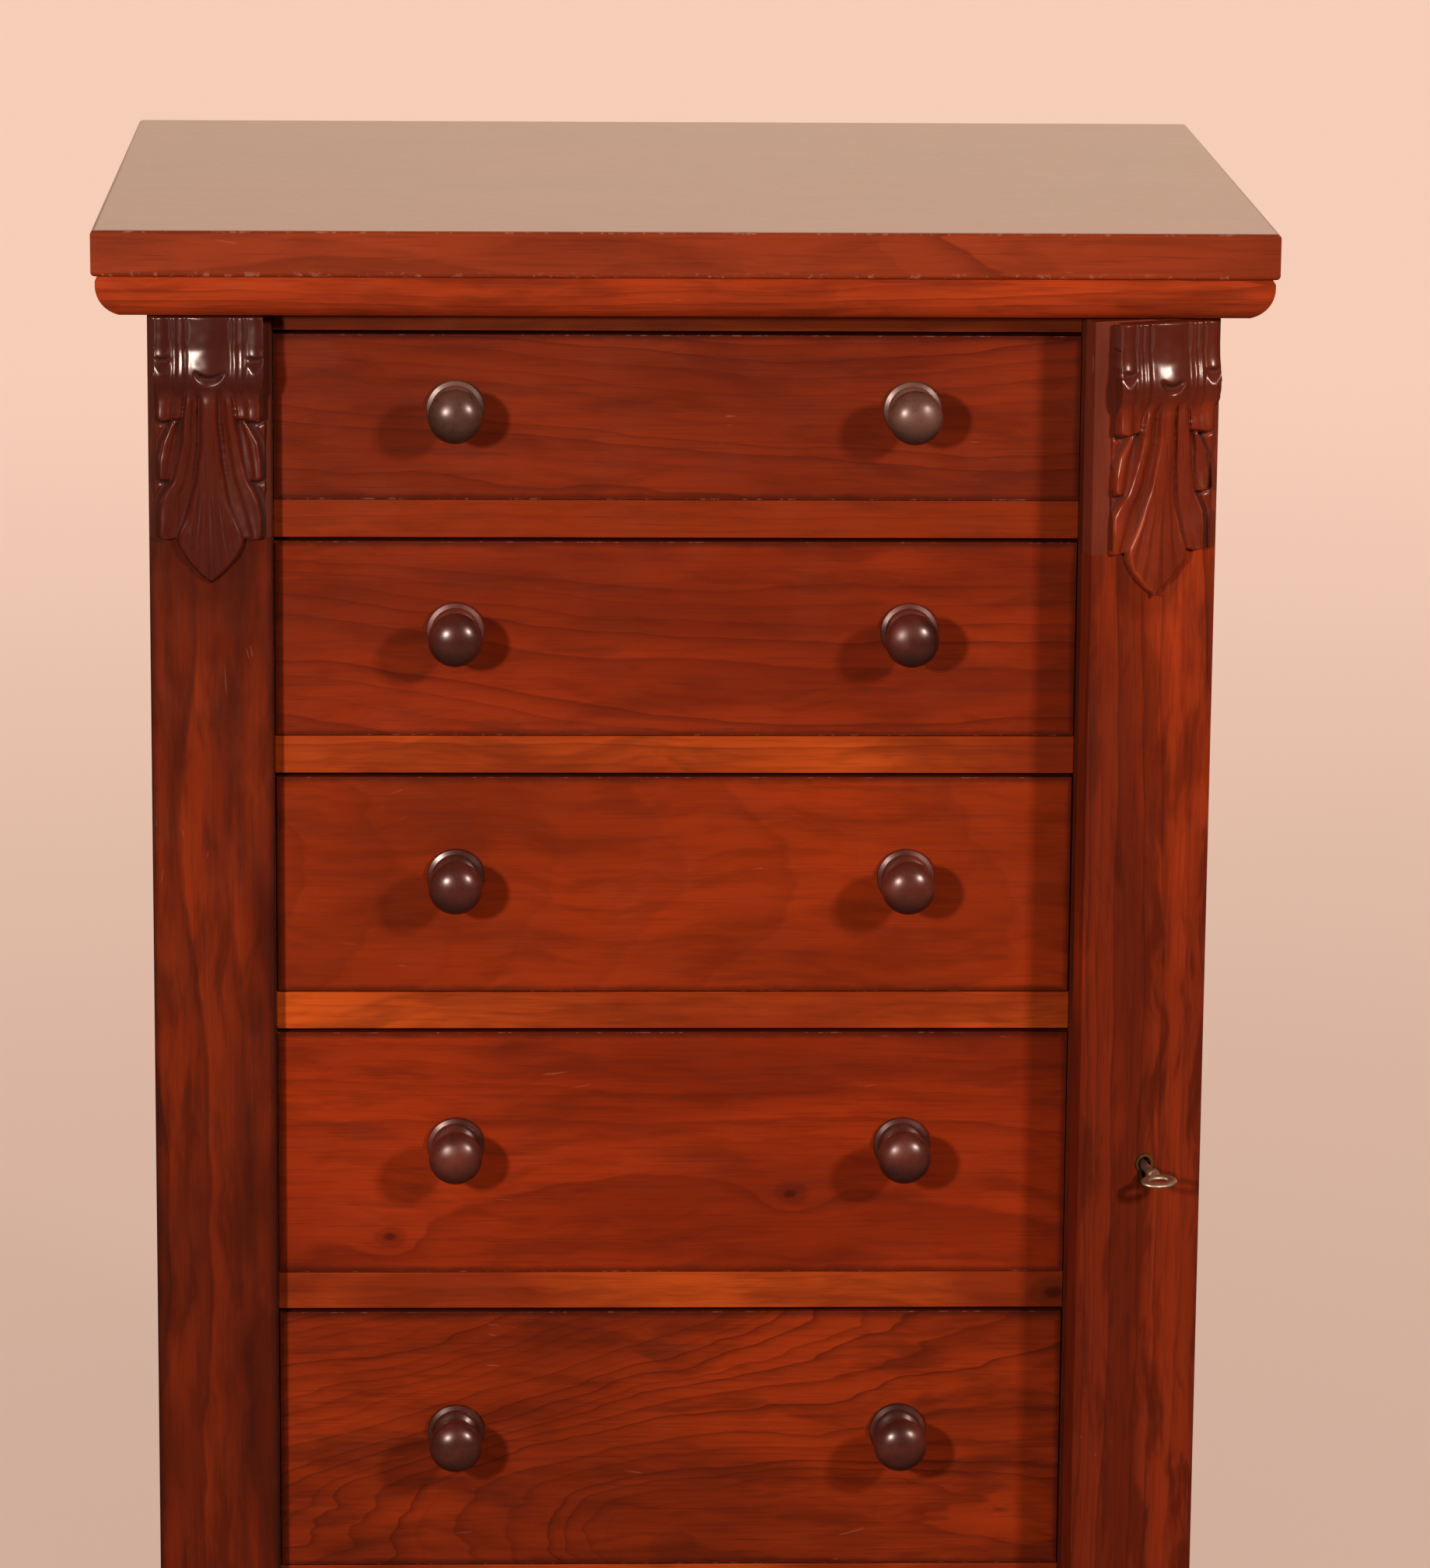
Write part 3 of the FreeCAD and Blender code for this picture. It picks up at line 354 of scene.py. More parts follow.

# %% [markdown]
# ## Waxed mahogany
# Each board gets its own material, because no two boards of the real chest match. The function
# takes the light, dark and line colours, how the grain runs and where the heart of the tree lies,
# and lays stains over each other, from the rings up to the scratches; some of these bands are
# painted shade and painted light. The sheen is old shellac under wax: fairly smooth, with a warm
# and rather weak reflection.

# %% Mahogany builder
GRAIN = {"level": "XZY", "upright": "ZXY", "top": "XYZ", "side": "ZYX", "deep": "YZX"}
SHELLAC, WHITE = (1, 0.55, 0.35, 1), (1, 1, 1, 1)
KNOT_AND_SHADE_TONE, RIM_DARK = (52, 13, 8), (40, 12, 8)
BARE_ARRIS, PALE_SCRATCH = (188, 132, 104), (190, 116, 88)
rim_width, rim_darkness, knot_darkness, pore_darkness, ring_darkness = 0.003, 0.6, 0.8, 0.4, 0.5
band_ragged, chip_scale, pore_depth, smoother_than_asked = 0.0016, 170.0, 0.0003, 0.05
# Heights over which the painted shade at the foot of an upright board grows.
foot_clear, foot_dark = 0.85, 0.35


def coordinates(shader, kind):
    return shader.id_data.nodes.new("ShaderNodeTexCoord").outputs[kind]


def board_vector(shader, grain):
    """Object coordinates in the order along the grain, across it, into the board."""
    taken = split(coordinates(shader, "Object"))
    return beside("CombineXYZ", *(taken[letter] for letter in GRAIN[grain])).outputs[0]


def facing_up(shader):
    """1 where the surface faces up, 0 where it stands upright and -1 where it faces down."""
    return split(coordinates(shader, "Normal"))["Z"]


def new_material(name, specular, tint=WHITE):
    material = bpy.data.materials.new(name)
    material.use_nodes = True
    shader = material.node_tree.nodes["Principled BSDF"]
    fill(shader, Specular_IOR_Level=specular, Specular_Tint=tint)
    return material, shader


def raised(shader, height, distance):
    """A faint relief on the surface."""
    bump = shader.id_data.nodes.new("ShaderNodeBump")
    fill(shader, Normal=fill(bump, Strength=0.2, Distance=distance, Height=height)[0])


def knot_masks(where, knots, swirls):
    """How far knots and swirls push the rings, and how dark knots and round painted shade are."""
    swell, darkness = 0.0, 0.0
    for place, size, push in (*knots, *swirls):
        one = place_group(knot, where, Place=place, Size=size, Push=push)
        swell = plus(swell, one["Swell"])
        if (place, size, push) in knots:
            darkness = maths("MAXIMUM", darkness, one["Dark"])
    return swell, darkness


def board_rim(where, box, grain):
    """The edge mask of a board, from the two corners of its box."""
    low, high = ([corner["XYZ".index(letter)] for letter in GRAIN[grain]] for corner in box)
    middle = tuple((a + b) / 2 for a, b in zip(low, high))
    half = tuple((b - a) / 2 for a, b in zip(low, high))
    return place_group(board_edge, where, Middle=middle, Half=half, Width=rim_width)["Rim"]


def mahogany(name, light, dark, line=(62, 16, 8), grain="level", seed=0.0, heart=(0, 0, 0.06),
             lean=(0, 0, 0), ring=0.006, wander=0.03, size=0.12, lines=0.75, flares=0.45,
             ripple=0.0045, knots=(), swirls=(), levels=(), bright=(), shade_and_sheen=(), chips=(),
             foot=0.0, box=None, roughness=0.36, specular=0.2, tint=SHELLAC, scratches=0.2,
             rub=0.12, polish=0.0):
    """A material for one board, or for boards of one kind.

    knots and swirls: (place, size, push). levels, darker bands: (low, high, share). Paler bands of
    painted light: (middle, half, share). Bands of painted shadow and greyer painted sheen: (low,
    high, share, tone). chips along an arris: (height, reach, share). The foot value paints shade on
    an upright board, darker towards the floor.
    """
    material, shader = new_material(name, specular, tint)
    where = board_vector(shader, grain)
    swell, knot_and_shade_dark = knot_masks(where, knots, swirls)
    rings = place_group(growth_rings, where, Heart=heart, Lean=lean, Ring_Width=ring, Seed=seed,
                        Wander=wander, Wander_Size=size, Swell=swell, Ripple=ripple)
    fine = place_group(pore_streaks, where, Seed=seed)
    worn = place_group(knocks, where, Seed=seed)
    parts = split(where)
    along, across = parts["X"], parts["Y"]

    shade = fine["Cloud"]
    for low, high, share in levels:
        shade = plus(shade, times(band(across, low, high), share), clamp=True)
    # Painted shade: an upright board grows darker towards the floor.
    if foot:
        shade = plus(shade, ramp(along, foot_clear, foot_dark, 0.0, foot), clamp=True)
    colour = blend(shade, seen(*light), seen(*dark))
    # Paler streaks of painted light, a lit copy of the light colour, ragged by the flares.
    lit_tone = [channel * 1.3 + 8 for channel in light]
    for place, half, share in bright:
        near = plus(distance_to(across, place), times(maths("SUBTRACT", fine["Flare"], 0.4), half))
        colour = stain(colour, ramp(near, half, 0.0), share, lit_tone)

    deeper = [channel * 0.72 for channel in dark]
    for mask, share, tone in ((rings["Ring"], ring_darkness, dark), (fine["Flare"], flares, deeper),
                              (fine["Streak"], pore_darkness, line), (rings["Line"], lines, line)):
        colour = stain(colour, mask, share, tone)
    # Dark knot hearts, and the round painted shade where a pushless knot sits under a carving.
    if knots:
        colour = stain(colour, knot_and_shade_dark, knot_darkness, KNOT_AND_SHADE_TONE)
    # The board's rim is darkened.
    if box is not None:
        colour = stain(colour, board_rim(where, box, grain), rim_darkness, RIM_DARK)
    # Bands of painted shadow, and of greyer painted sheen, ragged by the flares.
    for low, high, share, band_tone in shade_and_sheen:
        ragged = times(maths("SUBTRACT", fine["Flare"], 0.5), band_ragged)
        ragged = plus(across if grain == "level" else along, ragged)
        colour = stain(colour, band(ragged, low, high), share, band_tone)
    for level, reach, share in chips:
        height = distance_to(parts["Z"] if grain == "top" else across, level)
        loss = ramp(noise(where, chip_scale, 3, 0.7), 0.54, 0.64, 0.0, share)
        near = times(ramp(height, reach, 0.0), ramp(facing_up(shader), 0.95, 0.7))
        colour = stain(colour, near, loss, BARE_ARRIS)
    colour = stain(colour, worn["Scratch"], scratches, PALE_SCRATCH)

    smoothest = roughness - smoother_than_asked
    dull = plus(plus(times(worn["Rub"], rub), smoothest), times(fine["Streak"], rub))
    fill(shader, Base_Color=colour, Roughness=dull)
    if polish:
        coat = ramp(facing_up(shader), 0.6, 0.95, 0.0, polish)
        fill(shader, Coat_Weight=coat, Coat_Roughness=0.2, Coat_IOR=1.7)
    sunk = maths("MAXIMUM", fine["Streak"], rings["Line"])
    raised(shader, maths("SUBTRACT", 1.0, sunk), pore_depth)
    return material


def finish(node, material):
    """Gives a CAD node one material."""
    for number in range(len(nodes[node].data.materials)):
        nodes[node].data.materials[number] = material


print("mahogany ready")

# %% [markdown]
# ## The drawer fronts
# The photograph shows a different board on each drawer: wavy level lines on the first two, a quiet
# third, an arch with two small knots on the fourth and a lively diagonal flame on the fifth. The
# sixth is below the picture's edge and takes a calm figure. The upper and lower arrises of each
# front are a little chipped.

# %% Drawer fronts
front_figures = {
    1: dict(light=(134, 42, 16), dark=(108, 32, 12), line=(70, 19, 10), heart=(0, 0.80, 0.05),
            ring=0.0052, wander=0.05, size=0.2, lines=0.7, seed=1.3),
    2: dict(light=(146, 44, 14), dark=(116, 33, 11), line=(76, 20, 9), heart=(0, 0.64, 0.045),
            ring=0.0075, wander=0.06, size=0.2, lines=0.65, seed=4.1),
    3: dict(light=(154, 47, 12), dark=(126, 37, 10), line=(92, 26, 10), heart=(0.0, 0.68, 0.05),
            lean=(0, 0.02, 0.16), ring=0.009, wander=0.05, size=0.22, lines=0.4, seed=7.7),
    4: dict(light=(156, 46, 12), dark=(122, 33, 9), line=(74, 18, 8), heart=(0, 0.40, 0.05),
            ring=0.012, wander=0.05, size=0.17, lines=0.7, ripple=0.006, seed=2.2,
            knots=(((0.062, 0.498, 0), 0.005, 0.014), ((-0.152, 0.474, 0), 0.0046, 0.012)),
            swirls=(((-0.035, 0.50, 0), 0.09, -0.02),)),
    5: dict(light=(154, 47, 12), dark=(112, 32, 9), line=(62, 16, 8), heart=(0, 0.10, 0.05),
            lean=(0, 0.38, 0.1), ring=0.0075, wander=0.15, size=0.15, lines=0.8, flares=0.6,
            ripple=0.013, seed=9.4, swirls=(((-0.03, 0.31, 0), 0.035, -0.018),)),
    6: dict(light=(138, 42, 12), dark=(106, 30, 10), line=(66, 17, 8), heart=(0, 0.22, 0.06),
            lean=(0, 0.05, 0.1), ring=0.008, wander=0.08, size=0.2, lines=0.65, seed=5.6),
}
arris_reach = 0.0009
for number, figure in front_figures.items():
    board = f"drawer_{number}_front"
    low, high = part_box(board)
    arrises = ((low[2], arris_reach, 0.3), (high[2], arris_reach, 0.25))
    finish(board, mahogany(f"mahogany_drawer_{number}", box=(low, high), chips=arrises, **figure))
print(len(front_figures), "drawer fronts")

# %% [markdown]
# ## The carcase in mahogany
# Rails, sides, top, moulding, plinth, pilaster and stile show straighter grain than the fronts. On
# the uprights it runs from floor to top. The pilaster and the stile are painted darker towards the
# floor, a painted shade, and under each carving they get a greyer painted sheen, with a round
# painted shade at the leaf's point. The stile's right half has paler streaks of painted light, and
# the post beside its edge is painted dark as painted shade. The rails differ from each other in
# tone, so each has a band of its own tone, and the top rail under the moulding is darkened as
# painted shadow.

# %% Carcase boards
# Each rail's own tone as a darker band; the first band, the top rail under the moulding, is painted
# shadow.
rail_shades = ((0.955, 0.98, 0.3), (0.851, 0.8735, 0.85), (0.725, 0.7475, 0.25),
               (0.586, 0.6085, 0.0), (0.431, 0.4535, 0.4), (0.266, 0.2885, 0.4))
rail_arrises = [(high, 0.0008, 0.5) for low, high, share in rail_shades]
pilaster_middle, keyhole_line = -0.246, 0.2423
# Size of the round painted shade under the point of each carved leaf.
leaf_shade = 0.0165
top_low, top_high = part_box("top_board")

carcase_figures = (
    ("drawer_rails", "rails", dict(
        light=(204, 80, 22), dark=(136, 43, 14), line=(84, 26, 12), heart=(0, 0.3, 0.12),
        wander=0.04, size=0.3, lines=0.45, flares=0.5, levels=rail_shades, chips=rail_arrises,
        # A real stain on one rail, and a painted shadow of the moulding over the top rail.
        knots=(((0.204, 0.4425, 0), 0.007, 0.0),), shade_and_sheen=((0.9605, 0.99, 0.6, (48, 17, 10)),),
        seed=3.3)),
    # The post beside the stile's edge is painted dark, a painted shade that reads as the gap's
    # shadow.
    ("right_frame_stile", "shaded_post", dict(
        grain="upright", light=(92, 29, 12), dark=(64, 20, 9), lines=0.4, seed=7.3)),
    ("left_pilaster", "pilaster", dict(
        grain="upright", light=(142, 44, 13), dark=(82, 23, 9), line=(46, 14, 9),
        heart=(0, -0.30, 0.03), ring=0.0075, wander=0.045, size=0.18, lines=0.6, flares=0.6,
        # Painted shade towards the floor, a darkened rim, and a greyer painted sheen under the
        # carving.
        foot=0.5, box=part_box("left_pilaster"), shade_and_sheen=((0.8545, 0.98, 0.6, (82, 34, 24)),),
        # A round painted shade under the leaf's point.
        knots=(((0.852, pilaster_middle, 0), leaf_shade, 0.0),), seed=6.2)),
    ("locking_stile", "stile", dict(
        grain="upright", light=(164, 51, 16), dark=(100, 29, 11), line=(48, 14, 9),
        # The stile is painted darker towards the floor, a painted shade.
        heart=(0, 0.32, 0.02), ring=0.0055, size=0.25, lines=0.65, flares=0.4, foot=1.0,
        # Paler streaks on the stile's right half, painted light.
        bright=((0.262, 0.016, 0.2), (0.222, 0.01, 0.1)),
        # A round painted shade under the leaf's point.
        knots=(((0.8475, 0.2435, 0), leaf_shade, 0.0),),
        # A greyer painted sheen under the carving.
        shade_and_sheen=((0.8505, 0.98, 0.55, (104, 46, 32)),), seed=8.8)),
    ("stile_backing", "backing", dict(
        grain="upright", light=(120, 38, 14), dark=(90, 26, 11), heart=(0, 0.32, 0.05), seed=8.1)),
    ("top_board", "top", dict(
        grain="top", light=(150, 54, 25), dark=(124, 42, 19), line=(76, 26, 14),
        heart=(0, 0.05, 0.93), lean=(0, 0.05, 0.06), ring=0.0065, wander=0.05, size=0.2,
        lines=0.55, flares=0.3, roughness=0.4, specular=0.15, rub=0.02, polish=1.0,
        chips=((top_high[2], 0.0016, 0.7), (top_low[2], 0.004, 0.45)), seed=2.9)),
    ("top_moulding", "moulding", dict(
        light=(180, 60, 22), dark=(124, 38, 14), line=(74, 22, 11), heart=(0, 0.90, 0.1),
        ring=0.004, size=0.3, lines=0.5, roughness=0.26, specular=0.35, seed=5.1)),
)
for board, name, figure in carcase_figures:
    finish(board, mahogany("mahogany_" + name, **figure))

side_figure = dict(grain="side", light=(136, 44, 16), dark=(100, 30, 12), line=(58, 17, 9),
                   heart=(0, 0.03, 0.10), lean=(0, 0.04, 0.05), ring=0.0085, wander=0.07,
                   size=0.2, lines=0.6, specular=0.25, rub=0.05)
plinth_figure = dict(light=(134, 43, 16), dark=(100, 30, 12), line=(60, 17, 9),
                     heart=(0, -0.02, 0.05), ring=0.007, wander=0.05, size=0.2)
for board, seed in (("left_side", 3.7), ("right_side", 4.9)):
    finish(board, mahogany("mahogany_" + board, seed=seed, **side_figure))
for board, grain, seed in (("plinth_front", "level", 1.7), ("plinth_sides", "deep", 2.4)):
    finish(board, mahogany("mahogany_" + board, grain=grain, seed=seed, **plinth_figure))
print("carcase boards done")

# %% [markdown]
# ## Linings and pine
# The drawer linings and the inside of the carcase were never polished. Their wood is pale brown,
# open and dull, so the same function serves with paler colours. The frame inside the plinth is
# stained, because its edge shows over the plinth's moulding.

# %% Plain woods
def plain_wood(name, grain, light, dark, line, **values):
    return mahogany(name, light, dark, line, grain, roughness=0.68, specular=0.3, tint=WHITE,
                    scratches=0.1, flares=0.2, **values)


lining_level = plain_wood("lining_level", "level", (196, 150, 102), (166, 118, 74),
                          (122, 80, 46), ring=0.004, seed=1.1)
lining_deep = plain_wood("lining_deep", "deep", (190, 144, 98), (160, 112, 70), (118, 76, 44),
                         ring=0.004, heart=(0, 0.4, 0.5), seed=2.1)
pine_inside = plain_wood("pine_inside", "level", (196, 148, 98), (160, 112, 68), (116, 72, 40),
                         seed=3.1)
pine_back = plain_wood("pine_back", "upright", (158, 112, 72), (122, 82, 50), (80, 50, 30),
                       ring=0.007, heart=(0, 0.05, 0.3), wander=0.06, lines=0.8, seed=4.6)
stained_base = mahogany("stained_base", (122, 44, 20), (90, 30, 14), lines=0.4, seed=6.6)
plain_boards = {
    lining_level: [f"drawer_{n}_{part}" for n in front_figures for part in ("back", "bottom")],
    lining_deep: [f"drawer_{n}_sides" for n in front_figures] + ["drawer_runners", "drawer_guides"],
    pine_inside: ["top_rails", "bottom_board", "drawer_stops"],
    pine_back: ["left_frame_stile", "back_boards", "plinth_back"],
    stained_base: ["base_frame"],
}
for material, boards in plain_boards.items():
    for board in boards:
        finish(board, material)
print("linings and pine done")

# %% [markdown]
# ## Brass and iron
# The lock, its link plate and bolt are filed iron, the escutcheon and pivots are brass that nobody
# polishes any more, and the key is a pale worn metal. All have a noisy roughness and are dark where
# the bright surface has gone.

# %% Metals
def old_metal(name, bright, dull, roughness):
    material, shader = new_material(name, 0.5)
    where = coordinates(shader, "Object")
    scratch = place_group(knocks, where, Seed=roughness)["Scratch"]
    patch = noise(where, 90.0, 4, 0.6)
    colour = blend(ramp(patch, 0.35, 0.65), seen(*bright), seen(*dull))
    rough = ramp(patch, 0.2, 0.8, roughness - 0.1, roughness + 0.15)
    fill(shader, Base_Color=colour, Roughness=rough, Metallic=1.0)
    raised(shader, maths("SUBTRACT", patch, scratch), 0.0002)
    return material


brass = old_metal("brass_old", (164, 122, 66), (92, 62, 34), 0.42)
iron = old_metal("lock_iron", (132, 124, 116), (78, 70, 64), 0.45)
key_metal = old_metal("key_nickel", (214, 176, 150), (158, 122, 100), 0.44)
for name in ("pivot_sockets", "stile_pivots", "escutcheon"):
    finish(name, brass)
for name in ("link_plate", "lock_case", "lock_cap", "lock_bolt"):
    finish(name, iron)
print("metals done")

# %% [markdown]
# ## Softened edges
# No edge of an old board is sharp. The CAD faces don't share vertices, so a Weld modifier joins
# them first, a small Bevel rounds the edges, and weighted normals keep the faces flat. The CAD mesh
# itself stays as it is.

# %% Soften the boards
weld_distance = 0.00002
softness = {"top_board": 0.0016, "drawer_rails": 0.0006, "left_pilaster": 0.0012,
            "locking_stile": 0.0012, "left_side": 0.0008, "right_side": 0.0008,
            "plinth_front": 0.001, "plinth_sides": 0.001}
for number in front_figures:
    for part, width in (("front", 0.0009), ("sides", 0.0004), ("back", 0.0004)):
        softness[f"drawer_{number}_{part}"] = width
for board, width in softness.items():
    modifiers = nodes[board].modifiers
    modifiers.new("weld", "WELD").merge_threshold = weld_distance
    bevel = modifiers.new("soft edges", "BEVEL")
    bevel.width = width
    bevel.segments = 2
    bevel.limit_method = "ANGLE"
    bevel.angle_limit = math.radians(40)
    modifiers.new("flat faces", "WEIGHTED_NORMAL")
print(len(softness), "boards softened")

# %% [markdown]
# ## Turned knobs
# A turned knob is one outline spun about its axis. The outline lists how far each point stands out
# of the drawer front and its radius: a spigot, a flat collar, a ring, a waist and a ball, which is
# flatter in front than behind. The wood is painted darker underneath, a painted shade.

# %% Helpers for meshes
def shown(name, mesh, material, body):
    """Puts a mesh into the scene as a smooth piece of one body."""
    mesh.polygons.foreach_set("use_smooth", [True] * len(mesh.polygons))
    mesh.materials.append(material)
    made = bpy.data.objects.new(name, mesh)
    bpy.context.scene.collection.objects.link(made)
    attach(made, body)
    return made


def new_object(name, points, faces, material, body, sharp):
    """A closed piece from points and faces. Edges over 'sharp' degrees stay crisp."""
    mesh = bpy.data.meshes.new(name)
    mesh.from_pydata([tuple(p) for p in points], [], [tuple(f) for f in faces])
    cleaned = bmesh.new()
    cleaned.from_mesh(mesh)
    bmesh.ops.remove_doubles(cleaned, verts=cleaned.verts, dist=1e-6)
    bmesh.ops.recalc_face_normals(cleaned, faces=cleaned.faces)
    cleaned.to_mesh(mesh)
    cleaned.free()
    made = shown(name, mesh, material, body)
    mesh.set_sharp_from_angle(angle=math.radians(sharp))
    return made


def spun(outline, centre, out, steps):
    """Points and faces of an outline of (distance out, radius) spun about the axis 'out'."""
    out = Vector(out).normalized()
    side = out.orthogonal().normalized()
    other = out.cross(side)
    points = []
    for reach, radius in outline:
        for step in range(steps):
            angle = 2 * math.pi * step / steps
            around = side * math.cos(angle) + other * math.sin(angle)
            points.append(Vector(centre) + out * reach + around * radius)
    faces = []
    for ring in range(len(outline) - 1):
        low, high = ring * steps, (ring + 1) * steps
        for step in range(steps):
            after = (step + 1) % steps
            faces.append((low + step, low + after, high + after, high + step))
    faces.append(tuple(range(steps)))
    faces.append(tuple(range((len(outline) - 1) * steps, len(outline) * steps)))
    return points, faces


print("mesh helpers ready")

# %% Knob wood
def knob_wood(name, light, dark, rubbed, seed):
    material, shader = new_material(name, 0.7, (1, 0.7, 0.6, 1))
    where = board_vector(shader, "deep")
    fine = place_group(pore_streaks, where, Seed=seed, Fineness=700.0)
    rub = place_group(knocks, where, Seed=seed)["Rub"]
    colour = blend(fine["Cloud"], seen(*light), seen(*dark))
    colour = stain(colour, fine["Streak"], 0.5, (34, 13, 10))
    colour = stain(colour, rub, 0.45, rubbed)
    # Painted shade: the underside of the knob is darker.
    colour = stain(colour, ramp(facing_up(shader), 0.2, -0.65), 0.8, (30, 13, 10))
    fill(shader, Base_Color=colour, Roughness=ramp(rub, 0.0, 1.0, 0.27, 0.42))
    return material


# %% Turn the knobs
grey_knobs = knob_wood("turned_knob_wood_grey", (98, 60, 46), (66, 38, 29), (124, 72, 52), 3.0)
red_knobs = knob_wood("turned_knob_wood_red", (90, 36, 25), (52, 19, 14), (136, 50, 32), 5.0)
knob_levels = {1: 0.92115, 2: 0.80365, 3: 0.67115, 4: 0.52415, 5: 0.36415, 6: 0.19365}
knob_spread, drawer_face = 0.119, -0.19341
knob_steps, knob_crispness = 56, 32
ball_radius, ball_out, front_depth, back_depth = 0.0142, 0.027, 0.0086, 0.0125
ball_points, ball_back_points, ball_start, ball_step = 25, 9, 144, 6
knob_outline = [(-0.019, 0.0), (-0.019, 0.007), (0.0, 0.007), (0.0, 0.0146), (0.0007, 0.0152),
                (0.0020, 0.0153), (0.0030, 0.0148), (0.0034, 0.0136), (0.0037, 0.0127),
                (0.0046, 0.0128), (0.0054, 0.0124), (0.0064, 0.0112), (0.0073, 0.0096),
                (0.0084, 0.0083), (0.0100, 0.0077), (0.0125, 0.0076), (0.0148, 0.0078)]
for step in range(ball_points):
    angle = math.radians(ball_start - step * ball_step)
    depth = back_depth if step < ball_back_points else front_depth
    knob_outline.append((ball_out + depth * math.cos(angle), ball_radius * math.sin(angle)))
for number, level in knob_levels.items():
    wood = grey_knobs if number == 1 else red_knobs
    for side, x in (("left", -knob_spread), ("right", knob_spread)):
        points, faces = spun(knob_outline, (x, drawer_face, level), (0, -1, 0), knob_steps)
        name, body = f"drawer_{number}_knob_{side}", f"drawer_{number}"
        knob = new_object(name, points, faces, wood, body, knob_crispness)
        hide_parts(f"drawer_{number}_knobs")
print(2 * len(knob_levels), "knobs of", len(knob_outline), "rings")

# %% [markdown]
# ## Carved corbels
# Each corbel is one carved block: a reeded scroll under the moulding, then a leaf in three tiers
# that ends in a rounded point. A carver works from one side, so the relief is a height over the
# board, and a fine grid with those heights is the simplest true copy. The heights build up as the
# carver works: petals with a step under each tier, the fluted middle leaf, the reeded scroll, and
# last the half-moon gouge cuts.
#
# Lengths are millimetres here. 'across' counts from the corbel's middle line, 'side' is the same
# without its sign, and 'drop' runs down from the top. A profile is two rows, some drops and what
# the curve gives at each.

# %% Profiles of the carving
# The scroll is flat at its top, leans out from 18 mm on, is fullest at 31 mm and curls back under
SCROLL_ROLL = ((0, 18, 22, 27, 31, 34, 36.5, 39.5, 44, 60),
               (11.2, 11.3, 11.9, 12.9, 13.3, 13.1, 12.2, 10.7, 9.5, 8.6))
# Middle, half width and rise of each reed
SCROLL_REEDS = ((0, 10.6, 1.4), (13.6, 2.1, 0.95), (17.2, 2.1, 0.95), (24.1, 4.7, 1.2))
SCROLL_FADE, SCROLL_FOOT = 38, 47
# The middle leaf is narrow under the scroll and widens to its rounded point
LEAF_HALF_WIDTH = ((30, 44, 55, 70, 87, 100, 108, 116, 121, 127, 134, 138.5, 141, 143),
                   (5.4, 5.2, 5.3, 6.2, 8.2, 11.2, 13.8, 17.2, 17.4, 14.4, 9.0, 4.6, 1.2, -2))
LEAF_CROWN = ((30, 44, 56, 70, 87, 100, 120, 141), (10.6, 10.0, 9.2, 8.4, 7.5, 6.7, 5.2, 3.4))
FLUTE_SOURCE, FLUTE_ANGLE = 58.0, 0.115
# The upper and lower petals swing out to their outer edges; the lower ones also sink on the way
UPPER_OUTER = ((40, 50, 58, 67, 77, 95), (14, 16, 20.9, 25.6, 27.3, 27.3))
LOWER_OUTER = ((36, 55, 70, 87, 92, 98, 106, 125),
               (11.5, 14.0, 16.0, 19.9, 23.2, 26.0, 27.2, 27.4))
LOWER_LIFT = ((40, 56, 70, 87, 100, 118), (8.8, 8.0, 7.0, 5.6, 4.8, 4.9))
PETAL_FEET = (87, 55.5, 118.5)
GROUND_FOOT, GROUND_HALF, GROUND_RISE = 118.5, 28.2, 2.6
SOFT_RIM, FAR_OUTSIDE = -0.3, -9.0
# Top, half width, sag of the lip, length and depth of the gouge cuts in the outer reeds
SIDE_GOUGE = (22.0, 3.9, 0.5, 8.0, 2.8)


def smooth(low, high, value):
    share = np.clip((value - low) / (high - low), 0, 1)
    return share * share * (3 - 2 * share)


def ridge(value, middle, half):
    """A rounded ridge: 1 at its middle and 0 from 'half' on."""
    return np.clip(1 - ((value - middle) / half) ** 2, 0, 1)


def eased(value, places, heights):
    """A curve through points, with its corners rounded."""
    fine = np.linspace(places[0], places[-1], 400)
    line = np.interp(fine, places, heights)
    window = np.hanning(27) / np.hanning(27).sum()
    line = np.convolve(np.pad(line, 13, mode="edge"), window, mode="valid")
    return np.interp(value, fine, line)


# %% Relief of a corbel
def scroll_height(side, drop, low):
    """The roll under the moulding, with its reeds."""
    roll = eased(drop, *SCROLL_ROLL) - 0.4 * low * smooth(28, 8, drop)
    reeds = sum(rise * ridge(side, middle, half) for middle, half, rise in SCROLL_REEDS)
    return roll - 1.3 + reeds * (0.3 + 0.7 * smooth(50, SCROLL_FADE, drop))


def leaf_height(middle, drop, leaf_edge, vein):
    """The middle leaf: a crown that sinks to its point, with flutes that fan out from its stem."""
    away = np.clip(np.abs(middle) / np.maximum(leaf_edge, 0.5), 0, 1)
    crown = eased(drop, *LEAF_CROWN) + 0.7 - 2.0 * away ** 2.5 * smooth(125, 60, drop)
    fan = np.arctan2(middle, np.maximum(drop - FLUTE_SOURCE, 1.0)) / FLUTE_ANGLE + vein
    crest = np.abs(fan - np.round(fan)) * 2
    return crown - 1.3 * (1 - crest ** 0.75) * smooth(76, 108, drop)


